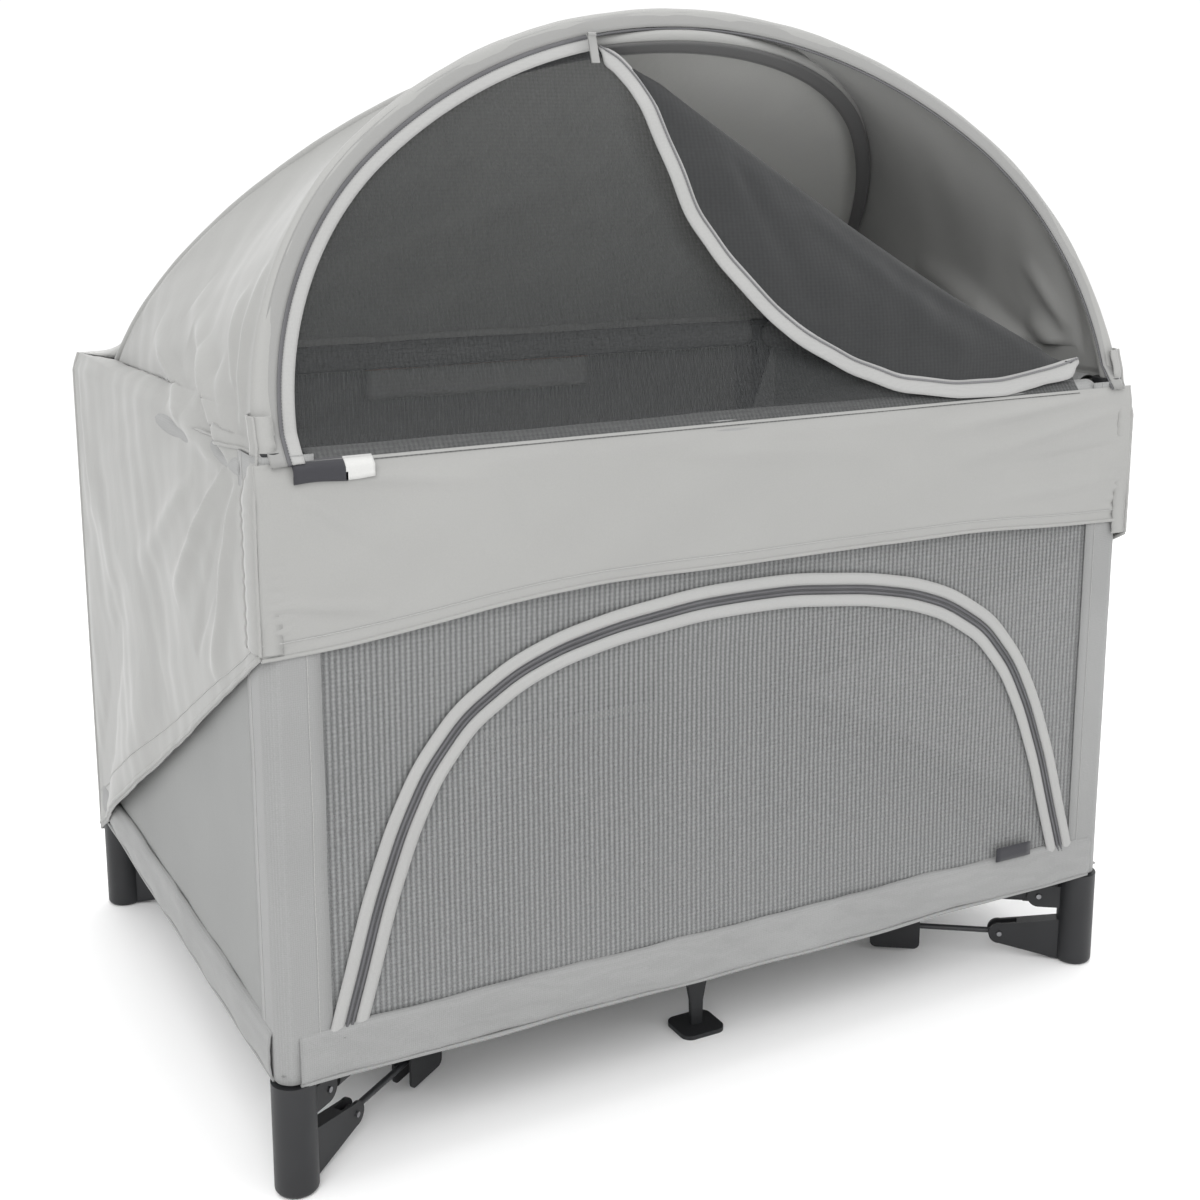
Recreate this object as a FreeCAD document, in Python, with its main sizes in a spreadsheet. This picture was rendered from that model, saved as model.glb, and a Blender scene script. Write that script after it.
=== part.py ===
"""Folding playpen with a zip-on tent canopy.

Four upright posts stand in moulded feet. Four arms join the feet to a hub under the floor, four
rods keep the posts upright, and eight half rails with a latch housing in the middle of each side
close the top. Lifting the hub swings every arm up and every half rail down by the same angle, so
the frame gathers towards the front left foot. Mesh and cloth walls hang from the top rails. The
canopy stands on two crossed hoops over the top rails, and its drapes hang outside the walls.

Frame: X along the front side, Y from front to back, Z up, origin on the ground in the middle.
"""
import FreeCAD, Part
import math
import os

import Sketcher
from FreeCAD import Placement, Rotation, Vector

DIMENSIONS = [
    # posts and feet
    ("post_x", 505, "post axis from the centre, along the front"),
    ("post_y", 364, "post axis from the centre, front to back"),
    ("post_r", 14, "post tube, outside radius"),
    ("post_bore_r", 12.6, "post tube, inside radius"),
    ("post_foot_z", 40, "bottom end of the post tube inside the foot"),
    ("foot_r", 22, "radius of the foot's column"),
    ("foot_top_z", 118, "top of the foot's column"),
    ("foot_edge", 6, "rounding under the foot"),
    ("ear_d", 46, "arm pivot from the post axis, inwards along the diagonal"),
    ("pivot_z", 84, "height of the arm pivots and of the hub's pivots"),
    ("ear_r", 14, "radius of the ear around the arm pivot"),
    ("rod_pivot_d", 92, "rod pivot from the post axis, inwards along the diagonal"),
    ("rod_pivot_z", 31, "height of the rod pivot"),
    ("clevis_r", 13, "radius of the clevis around the rod pivot"),
    ("ear_half", 9, "half width of the ear and of the clevis"),
    ("fit", 0.05, "radial clearance of a running fit"),
    ("slot_gap", 0.3, "side clearance of a tongue in its slot"),
    ("tongue_half", 5, "half thickness of a pivot tongue"),
    ("pin_r", 3, "radius of every pivot pin"),
    # arms, rods and hub
    ("arm_r", 9.5, "arm tube, outside radius"),
    ("wall_t", 1.2, "wall thickness of the arm and rail tubes"),
    ("tube_gap", 18, "end of an arm tube from its pivot"),
    ("hub_d", 70, "arm pivots from the hub's centre, along the diagonals"),
    ("hub_r", 50, "radius of the hub's disc"),
    ("hub_stem_r", 30, "radius of the hub's stem"),
    ("hub_low_z", 16, "bottom of the hub's stem"),
    ("hub_disc_z", 70, "underside of the hub's disc"),
    ("hub_top_z", 98, "top of the hub"),
    ("rod_r", 4, "rod radius"),
    ("rod_eye_r", 7, "radius of a rod's end eye"),
    ("rod_half", 3.6, "half thickness of a rod's end eye"),
    ("bracket_d", 190, "start of a rod bracket from the post axis"),
    ("bracket_long", 62, "length of a rod bracket"),
    ("bracket_low_z", 5, "bottom of a rod bracket"),
    ("mid_pivot_y", 40, "middle arm pivot from the hub's centre"),
    ("mid_foot_y", 285, "middle foot from the centre"),
    ("mid_arm_r", 8, "middle arm tube, outside radius"),
    # top rails
    ("rail_z", 716, "height of the top rail pivots"),
    ("rail_in", 32, "rail pivot from the post axis"),
    ("rail_r", 10.5, "rail tube, outside radius"),
    ("rail_gap", 14, "end of a rail tube from its pivot"),
    ("lug_r", 12, "radius of the lugs around the rail pivots"),
    ("cap_r", 16.4, "radius of a corner cap"),
    ("cap_low_z", 694, "bottom of a corner cap"),
    ("cap_top_z", 736, "top of a corner cap"),
    # fabric walls, floor and mattress
    ("cloth_t", 2, "thickness of every cloth panel"),
    ("corner_r", 17, "inside radius of the cover around a post"),
    ("hem_z", 122, "bottom hem of the walls"),
    ("wall_top_z", 733, "top of the walls"),
    ("floor_z", 108, "underside of the floor cloth"),
    ("pad_x", 486, "half length of the mattress"),
    ("pad_y", 346, "half width of the mattress"),
    ("pad_z", 113, "underside of the mattress"),
    ("pad_t", 30, "thickness of the mattress"),
    ("groove_w", 14, "width of a fold line in the mattress"),
    ("groove_t", 22, "depth of a fold line in the mattress"),
    # canopy
    ("front_hoop_x", 507, "half width of the front hoop"),
    ("rear_hoop_x", 490, "half width of the rear hoop"),
    ("hoop_z", 742, "height where the hoops' bows begin"),
    ("front_hoop_y", -364, "front hoop's feet"),
    ("front_apex_y", -232, "top of the front hoop"),
    ("front_apex_z", 1134, "top of the front hoop"),
    ("rear_hoop_y", 262, "rear hoop's feet"),
    ("rear_apex_y", -237, "top of the rear hoop"),
    ("rear_apex_z", 1113.5, "top of the rear hoop"),
    ("pole_r", 4, "radius of the hoop poles"),
    ("ferrule_r", 6, "radius of the hoops' end caps"),
    ("ferrule_l", 24, "length of the hoops' end caps"),
    ("sleeve", 9, "canopy panels' edge inside the hoops' line"),
    ("drape_off", 25, "canopy drapes' outside from the post axes"),
    ("skirt_z", 560, "bottom of the front skirt"),
    ("drape_low_z", 100, "bottom of the back drape"),
]

doc = FreeCAD.newDocument("playpen")
sheet = doc.addObject("Spreadsheet::Sheet", "dims")
for row, (alias, value, note) in enumerate(DIMENSIONS, start=1):
    sheet.set(f"A{row}", note)
    sheet.set(f"B{row}", f"{value:g}")
    sheet.setAlias(f"B{row}", alias)
doc.recompute()
D = {alias: float(sheet.get(alias)) for alias, _, _ in DIMENSIONS}

DIAGONAL = math.atan2(D["post_y"], D["post_x"])
POST_TO_CENTRE = math.hypot(D["post_x"], D["post_y"])
ARM_LONG = POST_TO_CENTRE - D["ear_d"] - D["hub_d"]
HALF_RAIL_X = ARM_LONG * math.cos(DIAGONAL)
HALF_RAIL_Y = ARM_LONG * math.sin(DIAGONAL)
LATCH_X = D["post_x"] - D["rail_in"] - HALF_RAIL_X
LATCH_Y = D["post_y"] - D["rail_in"] - HALF_RAIL_Y
CORNERS = {
    "front_left": (-1, -1),
    "front_right": (1, -1),
    "back_left": (-1, 1),
    "back_right": (1, 1),
}
UP = Vector(0, 0, 1)
ALONG_X = Rotation(Vector(0, 1, 0), 90)
ALONG_Y = Rotation(Vector(1, 0, 0), -90)
nodes = []


def bind(thing, **sizes):
    """Ties each property to an expression in the sheet's aliases, written as plain arithmetic."""
    for prop, rule in sizes.items():
        for alias in sorted(D, key=len, reverse=True):
            rule = replace_word(rule, alias)
        thing.setExpression(prop, rule)
    return thing


def replace_word(rule, alias):
    words, out = rule.split(), []
    for word in words:
        out.append("<<dims>>." + alias + " * 1 mm" if word == alias else word)
    return " ".join(out)


def primitive(kind, at, turn, **sizes):
    thing = doc.addObject("Part::" + kind, kind.lower())
    thing.Placement = Placement(Vector(*at), turn)
    return bind(thing, **{k: f"( {v} )" if " " in v else v for k, v in sizes.items()})


def block(at, long, wide, high):
    """A box whose corner is at the point given."""
    return primitive("Box", at, Rotation(), Length=long, Width=wide, Height=high)


def rod(at, radius, length, turn=Rotation()):
    """A cylinder from the point given, along Z unless turned."""
    return primitive("Cylinder", at, turn, Radius=radius, Height=length)


def across(at, radius, half):
    """A cylinder along Y, centred on the point given."""
    x, y, z = at
    wide = sum(D[w] if w in D else 0 for w in half.split())
    return rod((x, y - wide, z), radius, f"2 * ( {half} )", ALONG_Y)


def fuse(*shapes):
    joined = doc.addObject("Part::MultiFuse", "fuse")
    joined.Shapes = list(shapes)
    joined.Refine = True
    return joined


def cut(base, *tools):
    for tool in tools:
        taken = doc.addObject("Part::Cut", "cut")
        taken.Base, taken.Tool = base, tool
        base = taken
    return base


def compound(*shapes):
    group = doc.addObject("Part::Compound", "group")
    group.Links = list(shapes)
    return group


def keep(name, thing, place=None):
    """Names a finished sub-part and puts it in its place."""
    thing.Label = name
    if place is not None:
        thing.Placement = place
    nodes.append(thing)
    return thing


def solid(name, shape, place=None):
    """A sub-part whose shape is worked out here from the sheet's sizes."""
    thing = doc.addObject("Part::Feature", name)
    thing.Shape = shape
    return keep(name, thing, place)


def padded_profile(name, plane, points, thickness):
    """A sketched outline, each corner tied to the sheet, padded evenly to both sides."""
    body = doc.addObject("PartDesign::Body", name)
    sketch = body.newObject("Sketcher::SketchObject", name + "_outline")
    origin = next(o for o in body.Origin.OriginFeatures if o.Role == plane)
    sketch.AttachmentSupport = [(origin, "")]
    sketch.MapMode = "FlatFace"
    values = [[worth(rule) for rule in point] for point in points]
    for i, (u, v) in enumerate(values):
        u2, v2 = values[(i + 1) % len(values)]
        sketch.addGeometry(Part.LineSegment(Vector(u, v, 0), Vector(u2, v2, 0)), False)
    for i in range(len(points)):
        sketch.addConstraint(Sketcher.Constraint("Coincident", i, 2, (i + 1) % len(points), 1))
    for i, point in enumerate(points):
        for way, rule, value in zip(("DistanceX", "DistanceY"), point, values[i]):
            number = sketch.addConstraint(Sketcher.Constraint(way, -1, 1, i, 1, value))
            bind(sketch, **{f"Constraints[{number}]": rule})
    pad = body.newObject("PartDesign::Pad", name + "_pad")
    pad.Profile = sketch
    pad.Midplane = True
    bind(pad, Length=thickness)
    return body


def worth(rule):
    """Adds and subtracts the sheet's values and numbers in a rule such as 'post_x - 3 mm'."""
    total, sign = 0.0, 1
    for word in rule.split():
        if word in "+-":
            sign = 1 if word == "+" else -1
        elif word != "mm":
            total += sign * (D[word] if word in D else float(word))
    return total


def corner_place(sides):
    """The frame of a corner: origin under the post, X inwards along the diagonal."""
    sx, sy = sides
    inwards = math.degrees(math.atan2(-sy * D["post_y"], -sx * D["post_x"]))
    return Placement(Vector(sx * D["post_x"], sy * D["post_y"], 0), Rotation(UP, inwards))


def side_place(sides, along):
    """A corner's rail frame at pivot height: X inwards along one side of the pen."""
    sx, sy = sides
    turn = {"x": 0 if sx < 0 else 180, "y": 90 if sy < 0 else -90}[along]
    return Placement(Vector(sx * D["post_x"], sy * D["post_y"], D["rail_z"]), Rotation(UP, turn))


# ---------------------------------------------------------------- posts, feet and corner caps


def foot():
    """Moulded foot: a column for the post, an ear for the arm and a clevis for the rod."""
    ear, low = (D["ear_d"], 0, D["pivot_z"]), (D["rod_pivot_d"], 0, D["rod_pivot_z"])
    column = doc.addObject("Part::Fillet", "column")
    column.Base = rod((0, 0, 0), "foot_r", "foot_top_z")
    doc.recompute()
    bottom = min(range(3), key=lambda i: column.Base.Shape.Edges[i].BoundBox.ZMax)
    column.Edges = [(bottom + 1, D["foot_edge"], D["foot_edge"])]
    tip = "rod_pivot_d + 4 mm"
    under = padded_profile(
        "clevis_arm",
        "XZ_Plane",
        [
            ("0 mm", "6 mm"),
            ("20 mm", "2 mm"),
            (tip, "rod_pivot_z - clevis_r + 1 mm"),
            ("rod_pivot_d + 3 mm", "rod_pivot_z + clevis_r - 1 mm"),
            ("0 mm", "rod_pivot_z + 26 mm"),
        ],
        "2 * ear_half",
    )
    solid_foot = fuse(
        column,
        under,
        across(low, "clevis_r", "ear_half"),
        across(ear, "ear_r", "ear_half"),
        block((0, -D["ear_half"], D["pivot_z"] - D["ear_r"]), "ear_d", "2 * ear_half", "2 * ear_r"),
    )
    wide = D["tongue_half"] + D["slot_gap"]
    slot_wide = "2 * tongue_half + 2 * slot_gap"
    back = D["ear_d"] - D["ear_r"]
    return cut(
        solid_foot,
        block((back, -wide, D["pivot_z"] - D["ear_r"] - 1), "2 * ear_r + 4 mm", slot_wide, "40 mm"),
        block((D["rod_pivot_d"] - 22, -wide, 0), "60 mm", slot_wide, "64 mm"),
        across(ear, "pin_r + fit", "foot_r"),
        across(low, "pin_r + fit", "foot_r"),
        rod((0, 0, D["post_foot_z"]), "post_r + fit", "foot_top_z"),
    )


def post():
    outer = rod((0, 0, D["post_foot_z"]), "post_r", "rail_z - post_foot_z - 14 mm")
    inner = rod((0, 0, D["post_foot_z"] - 1), "post_bore_r", "rail_z - post_foot_z")
    return cut(outer, inner)


def corner_cap():
    """Cap on a post, with a slotted lug along each side for the ends of two half rails."""
    z = D["rail_z"]
    parts = [rod((0, 0, D["cap_low_z"]), "cap_r", "cap_top_z - cap_low_z")]
    slots = [rod((0, 0, D["cap_low_z"] - 1), "post_r + fit", "rail_z - cap_low_z - 13 mm + 1 mm")]
    half, lug = D["ear_half"] + 2, D["lug_r"]
    wide = D["tongue_half"] + D["slot_gap"]
    inner = D["rail_in"] - lug - 1
    parts += [
        block((0, -half, z - lug), "rail_in", "2 * ear_half + 4 mm", "2 * lug_r"),
        block((-half, 0, z - lug), "2 * ear_half + 4 mm", "rail_in", "2 * lug_r"),
        rod((D["rail_in"], -half, z), "lug_r", "2 * ear_half + 4 mm", ALONG_Y),
        rod((-half, D["rail_in"], z), "lug_r", "2 * ear_half + 4 mm", ALONG_X),
    ]
    slot_wide = "2 * tongue_half + 2 * slot_gap"
    slots += [
        block((inner, -wide, z - lug - 1), "3 * lug_r", slot_wide, "3 * lug_r"),
        block((-wide, inner, z - lug - 1), slot_wide, "3 * lug_r", "3 * lug_r"),
        rod((D["rail_in"], -half - 1, z), "pin_r + fit", "40 mm", ALONG_Y),
        rod((-half - 1, D["rail_in"], z), "pin_r + fit", "40 mm", ALONG_X),
    ]
    return cut(fuse(*parts), *slots)


def leg_pins(sides, place):
    """The arm and rod pivot screws of a foot, and the two rail pins of its corner cap."""
    long = "2 * ear_half + 4 mm"
    half = D["ear_half"] + 2
    screws = [
        rod((D["ear_d"], -half, D["pivot_z"]), "pin_r", long, ALONG_Y),
        rod((D["rod_pivot_d"], -half, D["rod_pivot_z"]), "pin_r", long, ALONG_Y),
    ]
    for screw in screws:
        screw.Placement = place.multiply(screw.Placement)
    sx, sy = sides
    x, y, z, inn = sx * D["post_x"], sy * D["post_y"], D["rail_z"], D["rail_in"]
    pins = [
        rod((x - sx * inn, y - half, z), "pin_r", long, ALONG_Y),
        rod((x - half, y - sy * inn, z), "pin_r", long, ALONG_X),
    ]
    return compound(*screws, *pins)


def cap_place(sides):
    """The cap's two lugs point along X and Y, inwards from the corner."""
    sx, sy = sides
    turn = {(-1, -1): 0, (1, -1): 90, (1, 1): 180, (-1, 1): -90}[sides]
    return Placement(Vector(sx * D["post_x"], sy * D["post_y"], 0), Rotation(UP, turn))


# ---------------------------------------------------------------- arms, rods, hub and middle feet


def link(start, end, z, tube_r, gap, long_rule):
    """A tube with a flat rounded tongue at each end, along X at height z."""
    half, eye = D["tongue_half"], D["tongue_half"] * 2
    tube = cut(
        rod((start + gap, 0, z), tube_r, long_rule, ALONG_X),
        rod((start + gap + 8, 0, z), f"{tube_r} - wall_t", f"{long_rule} - 16 mm", ALONG_X),
    )
    pieces, holes = [tube], []
    for pivot, inwards in ((start, 1), (end, -1)):
        low = min(pivot, pivot + inwards * (gap + 1))
        pieces.append(rod((pivot, -half, z), "2 * tongue_half - 1 mm", "2 * tongue_half", ALONG_Y))
        flat = block((low, -half, z - eye + 1), f"{gap + 1:g} mm", "2 * tongue_half",
                     "4 * tongue_half - 2 mm")
        pieces.append(flat)
        holes.append(rod((pivot, -half - 1, z), "pin_r + fit", "2 * tongue_half + 2 mm", ALONG_Y))
    return cut(fuse(*pieces), *holes)


def arm_with_bracket():
    """Arm tube from the ear to the hub, and the bracket's two cheeks that guide the rod below it."""
    start = D["ear_d"]
    tube_long = f"{ARM_LONG - 2 * D['tube_gap']:.4f} mm"
    arm = link(start, start + ARM_LONG, D["pivot_z"], "arm_r", D["tube_gap"], tube_long)
    cheeks = []
    for side in (-1, 1):
        y = side * (D["arm_r"] + 1.6) - 1.5
        plate = block((D["bracket_d"], y, D["bracket_low_z"]), "bracket_long", "3 mm",
                      "pivot_z - bracket_low_z + 8 mm")
        cheeks.append(rounded(plate))
    screw_d = D["bracket_d"] + D["bracket_long"] - 10
    bolt_z = D["rod_pivot_z"] + 12
    reach = D["arm_r"] + 5
    bolts = [
        rod((screw_d, -reach, bolt_z), "2.5 mm", "2 * arm_r + 10 mm", ALONG_Y),
        rod((screw_d - 20, -reach, D["pivot_z"]), "2.5 mm", "2 * arm_r + 10 mm", ALONG_Y),
    ]
    return fuse(arm, *cheeks, *bolts)


def rounded(plate):
    """A cheek plate with its two lower corners rounded."""
    doc.recompute()
    low = [
        i + 1
        for i, edge in enumerate(plate.Shape.Edges)
        if edge.BoundBox.YLength > 1 and edge.BoundBox.XLength < 1 and edge.BoundBox.ZMax < 20
    ]
    fillet = doc.addObject("Part::Fillet", "cheek")
    fillet.Base = plate
    fillet.Edges = [(number, 8, 8) for number in low]
    return fillet


def link_rod():
    """Thin rod beside an arm. Its outer eye turns on the foot, its inner eye is free in the hub."""
    start, z = D["rod_pivot_d"], D["rod_pivot_z"]
    bar = rod((start + 5, 0, z), "rod_r - 0.5 mm", f"{ARM_LONG - 10:.4f} mm", ALONG_X)
    eyes = [across((start + end, 0, z), "rod_eye_r", "rod_half") for end in (0, ARM_LONG)]
    hole = across((start, 0, z), "pin_r + fit", "arm_r")
    return cut(fuse(bar, *eyes), hole)


def hub():
    """Hub with four lugs for the arms, two slots for the middle arms and pockets for the rods."""
    thick = D["hub_top_z"] - D["hub_disc_z"]
    parts = [
        rod((0, 0, D["hub_disc_z"]), "hub_r", "hub_top_z - hub_disc_z"),
        rod((0, 0, D["hub_low_z"]), "hub_stem_r", "hub_top_z - hub_low_z"),
    ]
    slots, pins = [], []
    half = D["ear_half"]
    wide = D["tongue_half"] + D["slot_gap"]
    slot_wide = "2 * tongue_half + 2 * slot_gap"
    for sides in CORNERS.values():
        sx, sy = sides
        turn = Rotation(UP, math.degrees(math.atan2(sy * D["post_y"], sx * D["post_x"])))
        here = Placement(Vector(0, 0, 0), turn)
        z, far = D["pivot_z"], D["hub_d"]
        lug = [
            block((20, -half, D["hub_disc_z"]), "hub_d - 20 mm", "2 * ear_half",
                  "hub_top_z - hub_disc_z"),
            rod((far, -half, z), "ear_r", "2 * ear_half", ALONG_Y),
        ]
        gap = [
            block((far - 16, -wide, z - 20), "50 mm", slot_wide, "40 mm"),
            block((14, -wide, D["hub_low_z"] - 1), "30 mm", slot_wide, "rod_pivot_z + 16 mm"),
        ]
        pin = rod((far, -half, z), "pin_r", "2 * ear_half", ALONG_Y)
        for thing in (*lug, *gap, pin):
            thing.Placement = here.multiply(thing.Placement)
        parts += lug
        slots += gap
        pins.append(pin)
    for way in (-1, 1):
        y = way * D["mid_pivot_y"]
        low = y - 12 if way > 0 else y - 30
        slots.append(block((-wide, low, D["hub_disc_z"] - 1), slot_wide, "42 mm",
                           f"{thick + 2:g} mm"))
        pins.append(rod((-half, y, D["pivot_z"]), "pin_r", "2 * ear_half", ALONG_X))
    return fuse(cut(fuse(*parts), *slots), *pins)


def middle_arm():
    start, end = D["mid_pivot_y"], D["mid_foot_y"]
    long = f"{end - start - 2 * D['tube_gap']:g} mm"
    return link(start, end, D["pivot_z"], "mid_arm_r", D["tube_gap"], long)


def middle_foot():
    """Flared blade on a flat pad, with two cheeks around the end of a middle arm."""
    far = D["mid_foot_y"]
    blade = padded_profile(
        "blade",
        "YZ_Plane",
        [
            ("-7 mm", "3 mm"),
            ("7 mm", "3 mm"),
            ("8 mm", "34 mm"),
            ("15 mm", "pivot_z - 14 mm"),
            ("-15 mm", "pivot_z - 14 mm"),
            ("-8 mm", "34 mm"),
        ],
        "6 mm",
    )
    blade.Placement = Placement(Vector(far, 0, 0), Rotation())
    pad = doc.addObject("Part::Fillet", "foot_pad")
    pad.Base = block((far - 25, -27.5, 0), "50 mm", "55 mm", "5 mm")
    doc.recompute()
    upright = [i + 1 for i, e in enumerate(pad.Base.Shape.Edges) if e.BoundBox.ZLength > 4]
    pad.Edges = [(number, 12, 12) for number in upright]
    wide = D["tongue_half"] + D["slot_gap"]
    cheeks = [
        block((far - 8, y, D["pivot_z"] - 15), "16 mm", "4 mm", "25 mm")
        for y in (wide, -wide - 4)
    ]
    seat = block((far - 8, -wide - 4, D["pivot_z"] - 18), "16 mm",
                 "2 * tongue_half + 2 * slot_gap + 8 mm", "6 mm")
    pin = rod((far, -wide - 4, D["pivot_z"]), "pin_r", "2 * tongue_half + 2 * slot_gap + 8 mm",
              ALONG_Y)
    return fuse(blade, pad, seat, *cheeks, pin)


# ---------------------------------------------------------------- top rails


def half_rail(long):
    start = D["rail_in"]
    tube_long = f"{long - 2 * D['rail_gap']:.4f} mm"
    return link(start, start + long, 0, "rail_r", D["rail_gap"], tube_long)


def latch(half_long):
    """Housing in the middle of a side, slotted at both ends for the half rails."""
    half, lug = D["ear_half"] + 2, D["lug_r"]
    wide = D["tongue_half"] + D["slot_gap"]
    body = block((-half_long, -half, -lug), f"{2 * half_long:.4f} mm", "2 * ear_half + 4 mm",
                 "2 * lug_r")
    parts, slots, pins = [body], [], []
    for way in (-1, 1):
        end = way * half_long
        parts.append(rod((end, -half, 0), "lug_r", "2 * ear_half + 4 mm", ALONG_Y))
        low = end - lug - 1 if way > 0 else end - 2 * lug + 1
        slots.append(block((low, -wide, -lug - 1), "3 * lug_r", "2 * tongue_half + 2 * slot_gap",
                           "3 * lug_r"))
        pins.append(rod((end, -half, 0), "pin_r", "2 * ear_half + 4 mm", ALONG_Y))
    button = block((-9, -6, -lug - 4), "18 mm", "12 mm", "6 mm")
    return fuse(cut(fuse(*parts), *slots), *pins, button)


# ---------------------------------------------------------------- walls, floor and mattress


def wall(sides_of_corner, along):
    """One side of the cover: a flat panel and the quarter round that wraps one post."""
    cx, cy = sides_of_corner
    inner, outer = D["corner_r"], D["corner_r"] + D["cloth_t"]
    low, high = D["hem_z"], D["wall_top_z"] - D["hem_z"]
    px, py, gap = D["post_x"], D["post_y"], 0.3
    if along == "x":
        start = -px if cx < 0 else -px + gap
        y = cy * inner + cy * py if cy > 0 else -py - outer
        panel = Part.makeBox(2 * px - gap, D["cloth_t"], high, Vector(start, y, low))
    else:
        start = -py if cy < 0 else -py + gap
        x = px + inner if cx > 0 else -px - outer
        panel = Part.makeBox(D["cloth_t"], 2 * py - gap, high, Vector(x, start, low))
    turn = {(-1, -1): 180, (1, -1): 270, (1, 1): 0, (-1, 1): 90}[sides_of_corner]
    ring = Part.makeCylinder(outer, high, Vector(0, 0, 0), UP, 90).cut(
        Part.makeCylinder(inner, high, Vector(0, 0, 0), UP, 90)
    )
    ring.Placement = Placement(Vector(cx * px, cy * py, low), Rotation(UP, turn))
    return panel.fuse(ring).removeSplitter()


def floor_quarter(sides):
    """A quarter of the floor cloth, from its corner to the hub's centre lines."""
    sx, sy = sides
    long, wide = D["pad_x"] - 0.2, D["pad_y"] - 0.2
    x, y = (0.2 if s > 0 else -e - 0.2 for s, e in ((sx, long), (sy, wide)))
    return Part.makeBox(long, wide, D["cloth_t"], Vector(x, y, D["floor_z"]))


def mattress():
    """Pad of four boards in one cover, with three fold lines across it."""
    pad = doc.addObject("Part::Fillet", "pad")
    pad.Base = block((-D["pad_x"], -D["pad_y"], D["pad_z"]), "2 * pad_x", "2 * pad_y", "pad_t")
    doc.recompute()
    upright = [i + 1 for i, e in enumerate(pad.Base.Shape.Edges) if e.BoundBox.ZLength > 5]
    pad.Edges = [(number, 20, 20) for number in upright]
    grooves = []
    for step in (-1, 0, 1):
        x = step * D["pad_x"] / 2 - D["groove_w"] / 2
        z = D["pad_z"] + D["pad_t"] - D["groove_t"]
        grooves.append(block((x, -D["pad_y"] - 1, z), "groove_w", "2 * pad_y + 2 mm", "pad_t"))
    return cut(pad, *grooves)


# ---------------------------------------------------------------- canopy


class Bow:
    """A hoop's line: three tangent arcs, like a half ellipse, in a plane that leans."""

    def __init__(self, name):
        y, apex_y, apex_z = (D[f"{name}_{word}"] for word in ("hoop_y", "apex_y", "apex_z"))
        self.half = D[name + "_hoop_x"]
        self.foot = Vector(0, y, D["hoop_z"])
        rise = Vector(0, apex_y - y, apex_z - D["hoop_z"])
        self.high, self.up = rise.Length, rise.normalize()

    def point(self, u, v):
        return self.foot + Vector(u, 0, 0) + self.up * v

    def arch(self, inset=0.0):
        """(side radius, side centre, crown radius, crown centre) of the three arcs."""
        a, b = self.half, self.high
        slant = math.hypot(a, b)
        side = (slant * slant - (a - b) * slant) / (2 * a)
        crown = (slant * slant + (a - b) * slant) / (2 * b)
        return side - inset, a - side, crown - inset, b - crown

    def edges(self, inset=0.0):
        side, side_u, crown, crown_v = self.arch(inset)
        slope = math.atan2(abs(crown_v), abs(side_u))
        join_u, join_v = side_u + side * math.cos(slope), side * math.sin(slope)
        mid = slope / 2
        half = [
            Part.Arc(
                self.point(way * (side_u + side), 0),
                self.point(way * (side_u + side * math.cos(mid)), side * math.sin(mid)),
                self.point(way * join_u, join_v),
            ).toShape()
            for way in (-1, 1)
        ]
        top = Part.Arc(
            self.point(-join_u, join_v), self.point(0, crown_v + crown), self.point(join_u, join_v)
        ).toShape()
        return [half[0], top, half[1]]

    def pole(self):
        wire = Part.Wire(Part.__sortEdges__(self.edges()))
        start = self.point(-self.half, 0)
        ring = Part.Wire(Part.makeCircle(D["pole_r"], start, self.up))
        bar = wire.makePipeShell([ring], True, True)
        ends = [
            Part.makeCylinder(D["ferrule_r"], D["ferrule_l"], self.point(way * self.half, 0), self.up)
            for way in (-1, 1)
        ]
        return bar.fuse(ends).removeSplitter()

    def panel(self, inset, thickness):
        """The flat cloth panel inside the bow, with its edge along the bow."""
        side, side_u, _, _ = self.arch(inset)
        base = Part.makeLine(self.point(side_u + side, 0), self.point(-side_u - side, 0))
        wire = Part.Wire(Part.__sortEdges__([*self.edges(inset), base]))
        normal = Vector(1, 0, 0).cross(self.up)
        return Part.Face(wire).extrude(normal * thickness)


FRONT = Bow("front")
REAR = Bow("rear")
FLAP_CORNERS = [(-106, 380), (424, 10)]
FLAP_EDGE = [(-70, 345), (-48, 290), (-22, 200), (31, 118), (77, 71), (136, 38), (198, 12), (338, 4)]
FLAP_OUT = 8


def window():
    """Front mesh window, cut back along the chord that the open flap folds over."""
    full = FRONT.panel(D["sleeve"] + 6, -D["cloth_t"])
    (u1, v1), (u2, v2) = FLAP_CORNERS
    over = [(u1, v1), (u2, v2), (u2 + 200, v2), (u2 + 200, 700), (u1, 700)]
    back = Vector(1, 0, 0).cross(FRONT.up)
    ring = [FRONT.point(u, v) - back * 20 for u, v in over]
    tool = Part.Face(Part.makePolygon([*ring, ring[0]])).extrude(back * 40)
    return full.cut(tool)


def flap():
    """The unzipped corner of the window, folded out over the chord and hanging in front."""
    out = Vector(1, 0, 0).cross(FRONT.up)
    out = out if out.y < 0 else -out
    ring = [FRONT.point(u, v) + out * FLAP_OUT for u, v in [*FLAP_CORNERS[::-1], *FLAP_EDGE]]
    return Part.Face(Part.makePolygon([*ring, ring[0]])).extrude(out * D["cloth_t"])


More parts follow.
